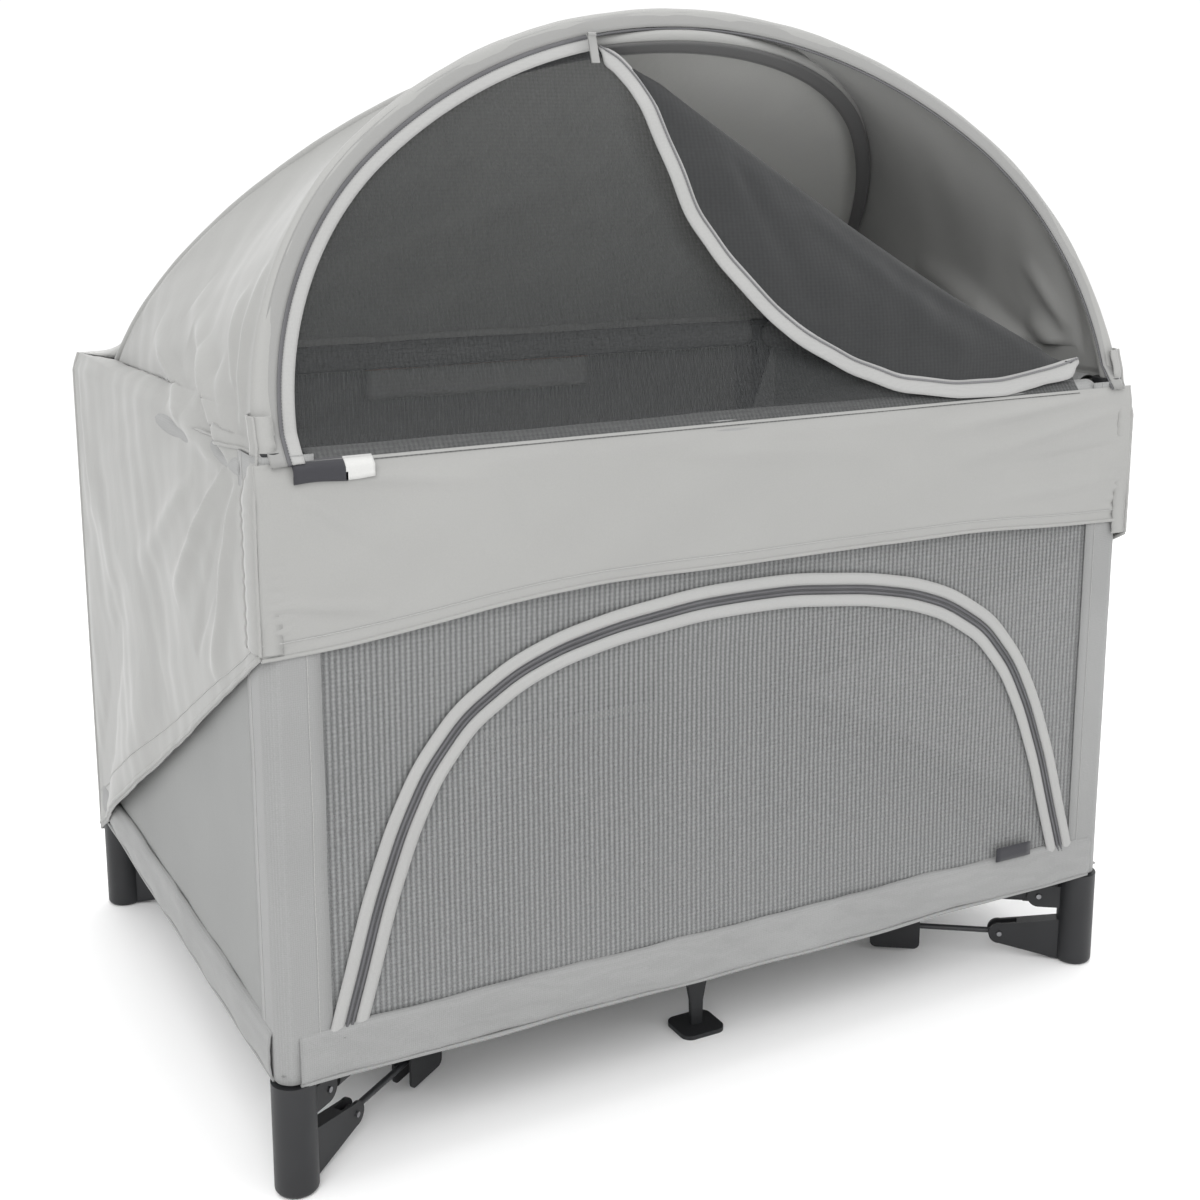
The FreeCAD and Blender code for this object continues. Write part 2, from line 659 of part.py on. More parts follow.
def gore(way):
    """Side of the tent between the two hoops: a faceted sheet, thickened towards the middle."""
    rings, steps, last = [], 9, 0.78
    middle = Vector(0, -80, D["hoop_z"])
    for i in range(steps):
        share = last * i / (steps - 1)
        angle = share * math.pi / 2
        ring = []
        for bow, back in ((FRONT, 14), (REAR, -14)):
            u = (bow.half - D["sleeve"]) * math.cos(angle)
            v = (bow.high - D["sleeve"]) * math.sin(angle)
            outer = bow.point(way * u, v) + Vector(0, back * (1 - share), 0)
            inwards = middle - outer
            ring += [outer, outer + inwards.normalize() * D["cloth_t"]]
        front, front_in, rear, rear_in = ring
        rings.append([front, rear, rear_in, front_in])
    faces = triangles(rings[0]) + triangles(rings[-1])
    for low, high in zip(rings, rings[1:]):
        for k in range(4):
            n = (k + 1) % 4
            patch = [low[k], low[n], high[n], high[k]]
            faces += triangles(patch[1:] + patch[:1] if k == 2 else patch)
    return Part.Solid(Part.Shell(faces))


def rear_panel():
    """Cloth inside the rear hoop, with the yoke that runs on to the top of the back drape."""
    t, foot = D["cloth_t"], REAR.foot
    half, back = REAR.half - D["sleeve"] - 3, D["post_y"] + D["drape_off"] - t
    yoke = Part.makeBox(2 * half, back - foot.y + 3, t, Vector(-half, foot.y - 3, foot.z - 1.2))
    return REAR.panel(D["sleeve"] + 6, t).fuse(yoke).removeSplitter()


def triangles(corners):
    """The two flat faces of a four-cornered patch."""
    a, b, c, d = corners
    return [Part.Face(Part.makePolygon([*three, three[0]])) for three in ((a, b, c), (a, c, d))]


def drapes():
    """Front skirt, the two slanting side drapes and the full back drape, outside the walls."""
    x, y = (D[p] + D["drape_off"] for p in ("post_x", "post_y"))
    t, top, low, back = D["cloth_t"], D["hoop_z"] - 4, D["skirt_z"], D["drape_low_z"]
    front = Part.makeBox(2 * x, t, top - low, Vector(-x, -y, low))
    rear = Part.makeBox(2 * x, t, top - back, Vector(-x, y - t, back))
    panels = [front, rear]
    outline = [(-y + t, top), (-y + t, low), (-y + 60, low - 25), (y - t, back), (y - t, top)]
    for side_x in (-x, x - t):
        ring = [Vector(side_x, v, w) for v, w in outline]
        panels.append(Part.Face(Part.makePolygon([*ring, ring[0]])).extrude(Vector(t, 0, 0)))
    skirt = panels[0]
    for panel in panels[1:]:
        skirt = skirt.fuse(panel)
    return skirt.removeSplitter()


PULL_AT = (-120, 386)


def zip_pull():
    """Slider tab that swings on a barrel at the end of the opened zipper."""
    out = Vector(0, -FRONT.up.z, FRONT.up.y)
    tab = Part.makeBox(9, 2, 30, Vector(-4.5, -1, -30))
    barrel = Part.makeCylinder(2.4, 9, Vector(-4.5, 0, 0), Vector(1, 0, 0))
    hole = Part.makeCylinder(1, 9, Vector(-4.5, 0, 0), Vector(1, 0, 0))
    shape = tab.fuse(barrel).cut(hole).removeSplitter()
    lean = math.degrees(math.atan2(FRONT.up.y, FRONT.up.z))
    spot = FRONT.point(*PULL_AT) + out * 16
    shape.Placement = Placement(spot, Rotation(Vector(1, 0, 0), -lean))
    return shape


# ---------------------------------------------------------------- the assembly

for name, sides in CORNERS.items():
    place = corner_place(sides)
    keep("foot_" + name, foot(), place)
    keep("post_" + name, post(), place)
    keep("cap_" + name, corner_cap(), cap_place(sides))
    keep("leg_pins_" + name, leg_pins(sides, place))
    keep("arm_" + name, arm_with_bracket(), place)
    keep("rod_" + name, link_rod(), place)
    for along, long in (("x", HALF_RAIL_X), ("y", HALF_RAIL_Y)):
        keep(f"rail_{along}_{name}", half_rail(long), side_place(sides, along))
    solid("floor_" + name, floor_quarter(sides))

keep("hub", hub())
for name, way in (("front", -1), ("back", 1)):
    turn = Placement(Vector(0, 0, 0), Rotation(UP, 90 * way))
    keep("mid_arm_" + name, middle_arm(), turn)
    keep("mid_foot_" + name, middle_foot(), turn)
    here = Vector(0, way * D["post_y"], D["rail_z"])
    keep("latch_" + name, latch(LATCH_X), Placement(here, Rotation()))
for name, way in (("left", -1), ("right", 1)):
    here = Vector(way * D["post_x"], 0, D["rail_z"])
    keep("latch_" + name, latch(LATCH_Y), Placement(here, Rotation(UP, 90)))

WALLS = {
    "front": ("front_left", "x"),
    "back": ("back_right", "x"),
    "left": ("back_left", "y"),
    "right": ("front_right", "y"),
}
for name, (corner, along) in WALLS.items():
    solid("wall_" + name, wall(CORNERS[corner], along))
keep("mattress", mattress())

solid("hoop_front", FRONT.pole())
solid("hoop_rear", REAR.pole())
solid("canopy_window", window())
solid("canopy_flap", flap())
solid("canopy_gore_left", gore(-1))
solid("canopy_gore_right", gore(1))
solid("canopy_rear", rear_panel())
solid("canopy_drapes", drapes())
solid("zip_pull", zip_pull())

doc.recompute()
broken = [o.Label for o in doc.Objects if {"Invalid", "Error"} & set(o.State)]
broken += [o.Label for o in nodes if o.Shape.isNull() or not o.Shape.isValid()]
if broken:
    raise RuntimeError(f"these objects failed: {broken}")
os.makedirs("parts", exist_ok=True)
for node in nodes:
    node.Shape.exportStep(f"parts/{node.Label}.step")
print(len(nodes), "sub-parts written")
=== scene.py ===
"""Looks of the folding playpen: cloth canopy, mesh walls, mattress and materials around the CAD frame."""
import math

import bpy
import numpy as np
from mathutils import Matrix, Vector


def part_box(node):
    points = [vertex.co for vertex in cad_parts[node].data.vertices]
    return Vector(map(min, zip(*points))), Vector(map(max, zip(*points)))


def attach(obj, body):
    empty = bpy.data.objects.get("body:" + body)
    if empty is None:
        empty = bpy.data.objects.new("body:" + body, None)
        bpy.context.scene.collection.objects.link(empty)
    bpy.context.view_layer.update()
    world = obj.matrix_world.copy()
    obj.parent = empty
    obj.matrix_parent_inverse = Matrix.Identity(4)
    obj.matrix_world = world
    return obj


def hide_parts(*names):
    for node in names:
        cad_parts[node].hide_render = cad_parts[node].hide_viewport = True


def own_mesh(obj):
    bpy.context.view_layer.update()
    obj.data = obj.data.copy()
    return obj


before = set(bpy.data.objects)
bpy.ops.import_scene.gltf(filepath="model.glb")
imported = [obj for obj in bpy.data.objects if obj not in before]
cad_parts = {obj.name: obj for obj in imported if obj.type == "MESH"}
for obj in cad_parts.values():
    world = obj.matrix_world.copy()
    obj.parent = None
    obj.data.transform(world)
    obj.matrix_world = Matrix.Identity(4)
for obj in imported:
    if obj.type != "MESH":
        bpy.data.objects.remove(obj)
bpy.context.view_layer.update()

# ---- places taken from the frame


def middle(node):
    low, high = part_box(node)
    return (low + high) / 2


POST_X = abs(middle("post_front_left").x)
POST_Y = abs(middle("post_front_left").y)
RAIL_Z = middle("rail_x_front_left").z
HEM_Z, WALL_TOP = (corner.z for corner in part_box("wall_front"))
DRAPE_OUT = 0.0205  # the drapes hang this far outside the posts' axes
DRAPE_X, DRAPE_Y = POST_X + DRAPE_OUT, POST_Y + DRAPE_OUT
DRAPE_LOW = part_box("canopy_drapes")[0].z
SKIRT_LOW, SKIRT_MID = 0.548, 0.578  # the skirt's hem at its left corner and at the middle
BASE_V = -0.016  # the window's lower edge, below the hoop's feet in the hoop's plane
POLE_R, FERRULE_R = 0.004, 0.006
CLOTH = 0.0014  # thickness of the cover's cloth
HEM_H = 0.050
CORNERS = (("front_left", -1, -1), ("front_right", 1, -1), ("back_left", -1, 1), ("back_right", 1, 1))


class Bow:
    """A canopy hoop's line, three tangent arcs in a leaning plane, read from its CAD pole."""

    def __init__(self, node, feet_in_front):
        low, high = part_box(node)
        self.half = high.x - FERRULE_R
        tilt = 1 if feet_in_front else -1
        # the plane's lean moves the ends of the pole's box, so it settles over a few rounds
        self.up = np.array([0, tilt * 0.5, 0.86])
        for _ in range(4):
            foot_y = (low.y if feet_in_front else high.y) + tilt * FERRULE_R * abs(self.up[2])
            apex_y = (high.y if feet_in_front else low.y) - tilt * POLE_R
            self.foot = np.array([0, foot_y, low.z + FERRULE_R * abs(self.up[1])])
            rise = np.array([0, apex_y - foot_y, high.z - POLE_R - self.foot[2]])
            self.high = float(np.linalg.norm(rise))
            self.up = rise / self.high
        a, b = self.half, self.high
        slant = math.hypot(a, b)
        self.side = (slant * slant - (a - b) * slant) / (2 * a)
        self.crown = (slant * slant + (a - b) * slant) / (2 * b)
        self.side_u, self.crown_v = a - self.side, b - self.crown
        self.slope = math.atan2(abs(self.crown_v), abs(self.side_u))
        self.out = np.cross(self.up, [1, 0, 0])
        if feet_in_front != (self.out[1] < 0):
            self.out = -self.out

    def uv(self, s, inset=0.0):
        """Points in the hoop's plane: s runs from 0 at the left foot to 1 at the right foot."""
        s = np.asarray(s, float)
        side, crown = self.side * self.slope, self.crown * (math.pi - 2 * self.slope)
        run = s * (2 * side + crown)
        left, right = run < side, run > side + crown
        angle = np.where(
            left,
            math.pi - run / self.side,
            np.where(
                right,
                (2 * side + crown - run) / self.side,
                math.pi - self.slope - (run - side) / self.crown,
            ),
        )
        radius = np.where(left | right, self.side, self.crown) - inset
        u0 = np.where(left, -self.side_u, np.where(right, self.side_u, 0.0))
        v0 = np.where(left | right, 0.0, self.crown_v)
        return u0 + radius * np.cos(angle), v0 + radius * np.sin(angle)

    def at(self, u, v, out=0.0):
        u, v, out = np.broadcast_arrays(u, v, out)
        point = self.foot + v[..., None] * self.up + out[..., None] * self.out
        point[..., 0] += u
        return point

    def line(self, s, inset=0.0, out=0.0):
        return self.at(*self.uv(s, inset), out)

    def s_at(self, u, inset=0.0):
        """Where along the hoop its line reaches a distance u from the middle."""
        s = np.linspace(0, 1, 2001)
        return float(np.interp(u, self.uv(s, inset)[0], s))


FRONT = Bow("hoop_front", True)
REAR = Bow("hoop_rear", False)
WRAP_V = 0.010


def rail_front(z):
    """Y of the front cloth as it leans out from the hoop's plane over the rail's cover."""
    crest = FRONT.foot + FRONT.up * WRAP_V
    return np.interp(z, [RAIL_Z + 0.007, crest[2]], [-POST_Y - 0.0198, crest[1]])


def over_rail(points, out=0.0):
    """Keeps points of the front cloth outside the rail's cover."""
    points = np.array(points)
    near = points[..., 2] < FRONT.foot[2] + WRAP_V
    lean = np.minimum(points[..., 1], rail_front(points[..., 2]) - out)
    points[..., 1] = np.where(near, lean, points[..., 1])
    return points

# ---- mesh helpers


def smooth(t):
    t = np.clip(t, 0, 1)
    return t * t * (3 - 2 * t)


def lerp(a, b, t):
    return a + (b - a) * t


def made(name, verts, faces):
    mesh = bpy.data.meshes.new(name)
    mesh.from_pydata([tuple(v) for v in np.asarray(verts, float).reshape(-1, 3)], [], faces)
    mesh.validate()
    mesh.update()
    mesh.shade_smooth()
    piece = bpy.data.objects.new(name, mesh)
    bpy.context.scene.collection.objects.link(piece)
    return piece


def normals(P):
    du, dv = np.gradient(P, axis=0), np.gradient(P, axis=1)
    n = np.cross(du, dv)
    return n / np.maximum(np.linalg.norm(n, axis=-1, keepdims=True), 1e-9)


def cells(n, m, start=0, flip=False):
    """Faces of a grid of n by m points that are numbered from start."""
    out = []
    for i in range(n - 1):
        for j in range(m - 1):
            a = start + i * m + j
            b, c, d = a + m, a + m + 1, a + 1
            out.append((d, c, b, a) if flip else (a, b, c, d))
    return out


def sheet(name, P, thick=0.0):
    """A grid of points as one layer of net, or as cloth with two sides and a rim."""
    if not thick:
        return made(name, P, cells(*P.shape[:2]))
    N = normals(P) * thick / 2
    return two_sided(name, P + N, P - N)


def two_sided(name, face, back):
    """A closed form between two grids of points, with a rim round their edges."""
    n, m = face.shape[:2]
    verts = np.concatenate([face.reshape(-1, 3), back.reshape(-1, 3)])
    faces = cells(n, m) + cells(n, m, n * m, flip=True)
    rim = [i * m for i in range(n)] + [(n - 1) * m + j for j in range(1, m)]
    rim += [i * m + m - 1 for i in range(n - 2, -1, -1)] + [j for j in range(m - 2, 0, -1)]
    for a, b in zip(rim, rim[1:] + rim[:1]):
        faces.append((b, a, a + n * m, b + n * m))
    return made(name, verts, faces)


def frames_along(path):
    """Tangents and two normals that turn as little as they can along a path."""
    path = np.asarray(path, float)
    T = np.gradient(path, axis=0)
    T /= np.maximum(np.linalg.norm(T, axis=1, keepdims=True), 1e-9)
    ref = np.array([0, 0, 1.0]) if abs(T[0][2]) < 0.9 else np.array([1.0, 0, 0])
    A = [np.cross(T[0], ref)]
    for t in T[1:]:
        A.append(A[-1] - t * np.dot(A[-1], t))
        A[-1] /= np.linalg.norm(A[-1])
    A[0] /= np.linalg.norm(A[0])
    A = np.array(A)
    return T, A, np.cross(T, A)


def tube(name, path, radius, sides=10, across=None, flat=1.0):
    """A closed tube. across gives its wide direction, and flat its thickness over its width."""
    path = np.asarray(path, float)
    T, A, B = frames_along(path)
    if across is not None:
        A = np.broadcast_to(np.asarray(across, float), path.shape)
        A = A - T * (A * T).sum(1, keepdims=True)
        A = A / np.linalg.norm(A, axis=1, keepdims=True)
        B = np.cross(T, A)
    r = np.broadcast_to(np.asarray(radius, float), (len(path),))[:, None, None]
    turn = np.linspace(0, 2 * math.pi, sides, endpoint=False)
    ring = path[:, None] + r * (
        np.cos(turn)[None, :, None] * A[:, None] + flat * np.sin(turn)[None, :, None] * B[:, None]
    )
    n = len(path)
    faces = []
    for i in range(n - 1):
        for j in range(sides):
            k = (j + 1) % sides
            faces.append((i * sides + j, i * sides + k, (i + 1) * sides + k, (i + 1) * sides + j))
    faces.append(tuple(range(sides))[::-1])
    faces.append(tuple((n - 1) * sides + j for j in range(sides)))
    return made(name, ring, faces)


def coil(name, path, radius, pitch, across):
    """A zipper's coil: a flat tube whose surface rises and falls once for each turn."""
    path = np.asarray(path, float)
    step = np.concatenate([[0], np.cumsum(np.linalg.norm(np.diff(path, axis=0), axis=1))])
    turns = max(int(step[-1] / pitch), 2)
    s = np.linspace(0, step[-1], turns * 2 + 1)
    fine = np.stack([np.interp(s, step, path[:, k]) for k in range(3)], 1)
    wide = np.stack([np.interp(s, step, across[:, k]) for k in range(3)], 1)
    bumps = radius * (1 + 0.22 * np.cos(np.pi * np.arange(len(s))))
    return tube(name, fine, bumps, 6, wide, 0.6)


def curve(points, count, soft=0.06):
    """A smooth line through a few points, evenly spaced. Its two ends stay where they are."""
    points = np.asarray(points, float)
    step = np.concatenate([[0], np.cumsum(np.linalg.norm(np.diff(points, axis=0), axis=1))])
    even = np.linspace(0, step[-1], count)
    line = np.stack([np.interp(even, step, points[:, k]) for k in range(points.shape[1])], 1)
    reach = max(int(count * soft / 2), 1)
    kernel = np.hanning(2 * reach + 3)[1:-1]
    kernel /= kernel.sum()
    ahead = 2 * line[:1] - line[1 : reach + 1][::-1]
    after = 2 * line[-1:] - line[-reach - 1 : -1][::-1]
    padded = np.concatenate([ahead, line, after])
    return np.stack([np.convolve(padded[:, k], kernel, "valid") for k in range(points.shape[1])], 1)


def inflate(piece, pressure, cap):
    """Swells a closed cloth form a little with Blender's cloth solver, and keeps the result."""
    start = np.array([v.co for v in piece.data.vertices])
    cloth = piece.modifiers.new("swell", "CLOTH")
    cloth.settings.quality = 5
    cloth.settings.use_pressure = True
    cloth.settings.uniform_pressure_force = pressure
    cloth.settings.effector_weights.gravity = 0
    scene = bpy.context.scene
    for number in range(1, 21):
        scene.frame_set(number)
    solved = piece.evaluated_get(bpy.context.evaluated_depsgraph_get())
    moved = np.array([v.co for v in solved.data.vertices]) - start
    piece.modifiers.remove(cloth)
    scene.frame_set(1)
    far = np.linalg.norm(moved, axis=1, keepdims=True)
    moved *= np.minimum(1, cap / np.maximum(far, 1e-9))
    for vertex, place in zip(piece.data.vertices, start + moved):
        vertex.co = place
    piece.data.update()


def ripple(A, B, seed, scale, octaves=3):
    """Smooth, seeded noise over two coordinates, about -1 to 1."""
    rng = np.random.RandomState(seed)
    total, size = np.zeros_like(A, float), 1.0
    for _ in range(octaves):
        for _ in range(5):
            kx, ky = rng.normal(0, 1, 2) * 2 * math.pi / scale
            total += size * np.sin(kx * A + ky * B + rng.uniform(0, 2 * math.pi)) / 3
        size, scale = size * 0.5, scale * 0.5
    return total


def ridges(A, B, folds):
    """Soft folds: each runs from one point to another, with a width and a height."""
    total = np.zeros_like(A, float)
    for (a0, b0), (a1, b1), width, height in folds:
        da, db = a1 - a0, b1 - b0
        long = math.hypot(da, db)
        t = ((A - a0) * da + (B - b0) * db) / long ** 2
        off = ((A - a0) * -db + (B - b0) * da) / long
        spread = width * (0.5 + 0.5 * np.clip(t, 0, 1))
        ends = np.sin(math.pi * np.clip(t, 0, 1)) ** 0.6
        total += height * ends * np.exp(-((off / spread) ** 2))
    return total


def dress(piece, body, material, slot, *nodes):
    piece.data.materials.clear()
    piece.data.materials.append(material)
    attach(piece, body)
    if nodes:
        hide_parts(*nodes)
    return piece


def canopy_piece(piece, material=None):
    """Dresses a piece of the canopy's own cloth, or of another material sewn to it."""
    return dress(piece, "canopy", material or CANOPY, "canopy_cloth")


def paint(node, material):
    """Gives a carried-over CAD node its material."""
    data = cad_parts[node].data
    data.materials.clear()
    data.materials.append(material)


# ---- materials


class Paint:
    """A small helper that lays out one Principled material's nodes."""

    def __init__(self, name, color, rough, **sockets):
        self.mat = bpy.data.materials.new(name)
        self.mat.use_nodes = True
        self.nt = self.mat.node_tree
        self.shader = self.nt.nodes["Principled BSDF"]
        self.shader.inputs["Base Color"].default_value = (*color, 1)
        self.shader.inputs["Roughness"].default_value = rough
        for socket, value in sockets.items():
            self.shader.inputs[socket.replace("_", " ")].default_value = value
        self.coords = self.node("TexCoord").outputs["Object"]

    def node(self, kind, **inputs):
        node = self.nt.nodes.new("ShaderNode" + kind)
        for key, value in inputs.items():
            self.feed(node.inputs[key.replace("_", " ")], value)
        return node

    def feed(self, socket, value):
        if isinstance(value, bpy.types.NodeSocket):
            self.nt.links.new(value, socket)
        else:
            socket.default_value = value

    def stretched(self, scale):
        node = self.node("Mapping")
        self.feed(node.inputs["Vector"], self.coords)
        node.inputs["Scale"].default_value = scale
        return node.outputs["Vector"]

    def noise(self, scale, detail=3.0, stretch=(1, 1, 1), rough=0.5):
        node = self.node("TexNoise", Scale=scale, Detail=detail, Roughness=rough)
        self.feed(node.inputs["Vector"], self.stretched(stretch))
        return node.outputs["Fac"]

    def wave(self, scale, axis, distort=0.0, detail=2.0, detail_scale=1.0):
        node = self.node(
            "TexWave", Scale=scale, Distortion=distort, Detail=detail, Detail_Scale=detail_scale
        )
        node.bands_direction = axis
        self.feed(node.inputs["Vector"], self.coords)
        return node.outputs["Fac"]

    def calc(self, operation, a, b):
        node = self.node("Math")
        node.operation = operation
        self.feed(node.inputs[0], a)
        self.feed(node.inputs[1], b)
        return node.outputs[0]

    def mix(self, *parts):
        """The sum of several values, each times its weight."""
        total = 0.0
        for value, weight in parts:
            total = self.calc("ADD", total, self.calc("MULTIPLY", value, weight))
        return total

    def ramp(self, fac, stops):
        node = self.node("ValToRGB", Fac=fac)
        ramp = node.color_ramp
        while len(ramp.elements) < len(stops):
            ramp.elements.new(0.5)
        for element, (place, color) in zip(ramp.elements, stops):
            element.position = place
            element.color = (*color, 1) if len(color) == 3 else color
        return node.outputs["Color"]

    def color(self, fac, dark, light, low=0.3, high=0.7):
        self.feed(self.shader.inputs["Base Color"], self.ramp(fac, [(low, dark), (high, light)]))

    def roughness(self, fac, low, high):
        node = self.node("MapRange", To_Min=low, To_Max=high)
        self.feed(node.inputs["Value"], fac)
        self.feed(self.shader.inputs["Roughness"], node.outputs["Result"])

    def bump(self, height, distance, strength=1.0):
        node = self.node("Bump", Height=height, Distance=distance, Strength=strength)
        before = self.shader.inputs["Normal"]
        if before.is_linked:
            self.feed(node.inputs["Normal"], before.links[0].from_socket)
        self.feed(before, node.outputs["Normal"])

    def alpha(self, fac, low, high):
        node = self.node("MapRange", To_Min=low, To_Max=high)
        self.feed(node.inputs["Value"], fac)
        self.feed(self.shader.inputs["Alpha"], node.outputs["Result"])


def shade(color, factor):
    return tuple(min(c * factor, 1.0) for c in color)


def woven(name, color, thread, contrast=0.10, bump=0.0004, alpha=1.0):
    """Plain woven cloth: crossed threads, a soft heather and a little fuzz."""
    rough = 0.85
    p = Paint(name, color, rough, Sheen_Weight=0.15, Sheen_Roughness=0.5, Alpha=alpha)
    p.shader.inputs["Specular IOR Level"].default_value = 0.25
    scale = 0.16 / thread  # a wave of this scale repeats about every two threads
    x, y, z = (p.wave(scale, axis, 1.2, 1.0, 3.0) for axis in "XYZ")
    threads = p.mix((x, 0.33), (y, 0.33), (z, 0.33))
    heather = p.noise(900, 2, rough=0.7)
    broad = p.noise(7, 4)
    mix = p.mix((heather, 0.55), (broad, 0.25), (threads, 0.2))
    p.color(mix, shade(color, 1 - contrast), shade(color, 1 + contrast), 0.35, 0.65)
    p.roughness(heather, rough - 0.08, rough + 0.05)
    p.bump(threads, bump, 0.5)
    p.bump(p.noise(60, 5), 0.0008, 0.25)
    return p.mat


def taffeta(name, color, rough=0.62, painted_glow=0.0):
    """Smooth light canopy cloth: fine grain, soft crumple, a silky sheen, and an optional subsurface glow
    that lightens the cloth as painted light.
    """
    p = Paint(name, color, rough, Sheen_Weight=0.25, Sheen_Roughness=0.35)
    p.shader.inputs["Specular IOR Level"].default_value = 0.35
    broad = p.noise(4, 4)
    fine = p.noise(700, 2, rough=0.6)
    mix = p.mix((broad, 0.6), (fine, 0.4))
    p.color(mix, shade(color, 0.95), shade(color, 1.04))
    p.roughness(broad, rough - 0.06, rough + 0.06)
    p.bump(p.noise(14, 6, (1, 1, 0.6), 0.6), 0.004, 0.28)
    p.bump(p.noise(900, 2), 0.0002, 0.3)
    p.shader.inputs["Subsurface Weight"].default_value = painted_glow
    p.shader.inputs["Subsurface Radius"].default_value = (1, 1, 1)
    p.shader.inputs["Subsurface Scale"].default_value = 0.004
    return p.mat


def netting(name, color, low, high, ribs, rib_share=0.5):
    """Open knitted net: ribs and cross threads leave holes that show what is behind."""
    p = Paint(name, color, 0.7, Sheen_Weight=0.1)
    p.shader.inputs["Specular IOR Level"].default_value = 0.3
    up = p.wave(ribs, "X", 0.4, 1.0, 2.0)
    over = p.wave(ribs * 1.3, "Z", 0.4, 1.0, 2.0)
    knit = p.mix((up, rib_share), (over, 0.15), (p.noise(260, 2), 0.85 - rib_share))
    p.color(knit, shade(color, 0.85), shade(color, 1.12), 0.3, 0.9)
    p.alpha(knit, low, high)
    p.bump(knit, 0.0005, 0.4)
    return p.mat


def moulded(name, color, rough=0.42):
    """Moulded plastic: fine spark-eroded grain, with a broad uneven tone and gloss."""
    p = Paint(name, color, rough)
    p.shader.inputs["Specular IOR Level"].default_value = 0.35
    grain = p.noise(1500, 2, rough=0.6)
    broad = p.noise(18, 5)
    p.color(broad, shade(color, 0.88), shade(color, 1.18))
    p.roughness(p.mix((grain, 0.5), (broad, 0.5)), rough - 0.08, rough + 0.12)
    p.bump(grain, 0.00025, 0.5)
    return p.mat


def coated(name, color, rough=0.38):
    """Powder-coated steel tube with a faint orange-peel skin."""
    p = Paint(name, color, rough)
    peel = p.noise(420, 2)
    p.color(p.noise(30, 4), shade(color, 0.9), shade(color, 1.12))
    p.roughness(peel, rough - 0.05, rough + 0.1)
    p.bump(peel, 0.0002, 0.35)
    return p.mat


def drawn_steel(name, color, rough=0.32):
    """Plain steel with fine marks and slightly uneven polish."""
    p = Paint(name, color, rough, Metallic=1.0)
    marks = p.noise(300, 3, (1, 1, 12))
    p.color(p.noise(40, 3), shade(color, 0.85), shade(color, 1.1))
    p.roughness(marks, rough - 0.08, rough + 0.14)
    p.bump(marks, 0.0001, 0.3)
    return p.mat


def printed(name, base, band, split_z):
    """A blank sewn label: a plain field with a plain coloured band across its top."""
    p = Paint(name, base, 0.75)
    above = p.node("SeparateXYZ", Vector=p.coords).outputs["Z"]
    edge = p.calc("GREATER_THAN", above, split_z)
    p.feed(p.shader.inputs["Base Color"], p.ramp(edge, [(0.0, base), (1.0, band)]))
    p.bump(p.noise(900, 2), 0.0002, 0.4)
    return p.mat


CANOPY = taffeta("canopy_taffeta", (0.285, 0.285, 0.277))
# Painted light: the rear panel gets a lighter copy of the canopy cloth with a strong subsurface glow, so
# the shaded back reads brighter.
REAR_CLOTH_PAINTED_LIGHT = taffeta("canopy_rear_painted_light", (0.34, 0.34, 0.33), painted_glow=0.8)
BAND_CLOTH = taffeta("arch_binding", (0.235, 0.235, 0.23))
# Painted shade: a near-black copy of the canopy cloth for the rear sleeve's band, which lies in shadow.
SLEEVE_PAINTED_SHADE = taffeta("rear_sleeve_painted_shade", (0.10, 0.10, 0.10), 0.8)
CANVAS = woven("heather_canvas", (0.243, 0.245, 0.243), 0.0011)
END_CLOTH = woven("end_panel", (0.262, 0.266, 0.262), 0.0009, 0.05, bump=0.0003, alpha=0.82)
PIPING = woven("binding_tape", (0.32, 0.32, 0.315), 0.0007, 0.06, bump=0.0002)
TAPE_MID = woven("zip_tape_dark", (0.15, 0.15, 0.155), 0.0006, 0.08, bump=0.0002)
SIDE_NET = netting("side_net", (0.225, 0.229, 0.229), 0.42, 0.95, 54)
WINDOW_NET = netting("window_net", (0.033, 0.035, 0.036), 0.30, 0.82, 64, 0.25)
FLAP_NET = netting("flap_net", (0.024, 0.025, 0.026), 0.9, 1.0, 64, 0.25)
TEETH = moulded("zip_nylon", (0.085, 0.085, 0.09), 0.4)
PLASTIC = moulded("charcoal_plastic", (0.016, 0.0165, 0.018))
TUBE = coated("dark_powder_coat", (0.03, 0.031, 0.034))
SCREW = drawn_steel("screw_steel", (0.25, 0.25, 0.26))
PULL = moulded("zip_pull_grey", (0.24, 0.24, 0.235), 0.5)
POLE = coated("glass_fibre", (0.05, 0.05, 0.05), 0.45)
PAD = woven("mattress_cloth", (0.25, 0.255, 0.255), 0.0012, 0.08)
TAG_DARK = woven("tag_dark", (0.035, 0.035, 0.04), 0.0005, 0.08)
TAG_LIGHT = woven("tag_light", (0.50, 0.50, 0.49), 0.0005, 0.05)
LABEL_TOP = 0.696
LABEL = printed("inner_label", (0.42, 0.42, 0.41), (0.36, 0.13, 0.06), LABEL_TOP)

# ---- canopy

ROWS_LOW, ROWS_YOKE, ROWS_HIGH, COLUMNS = 74, 14, 104, 150  # a side panel's grid
SHOULDER_Z = 0.7425  # the drapes' corners at the back
SLEEVE_R = 0.010
STRIP_R = 0.0145  # the corner strip, where it wraps a hoop's foot
ZIP_IN = 0.0135  # the canopy zipper's line, inside the hoop
TAPE_IN = 0.028  # the inner edge of its tape
YOKE_S = 0.02  # share of the front hoop beside the yoke
LEAD = 0.014  # how far the front bands run on past the hoop's feet
FLAP_ROLL = 0.010


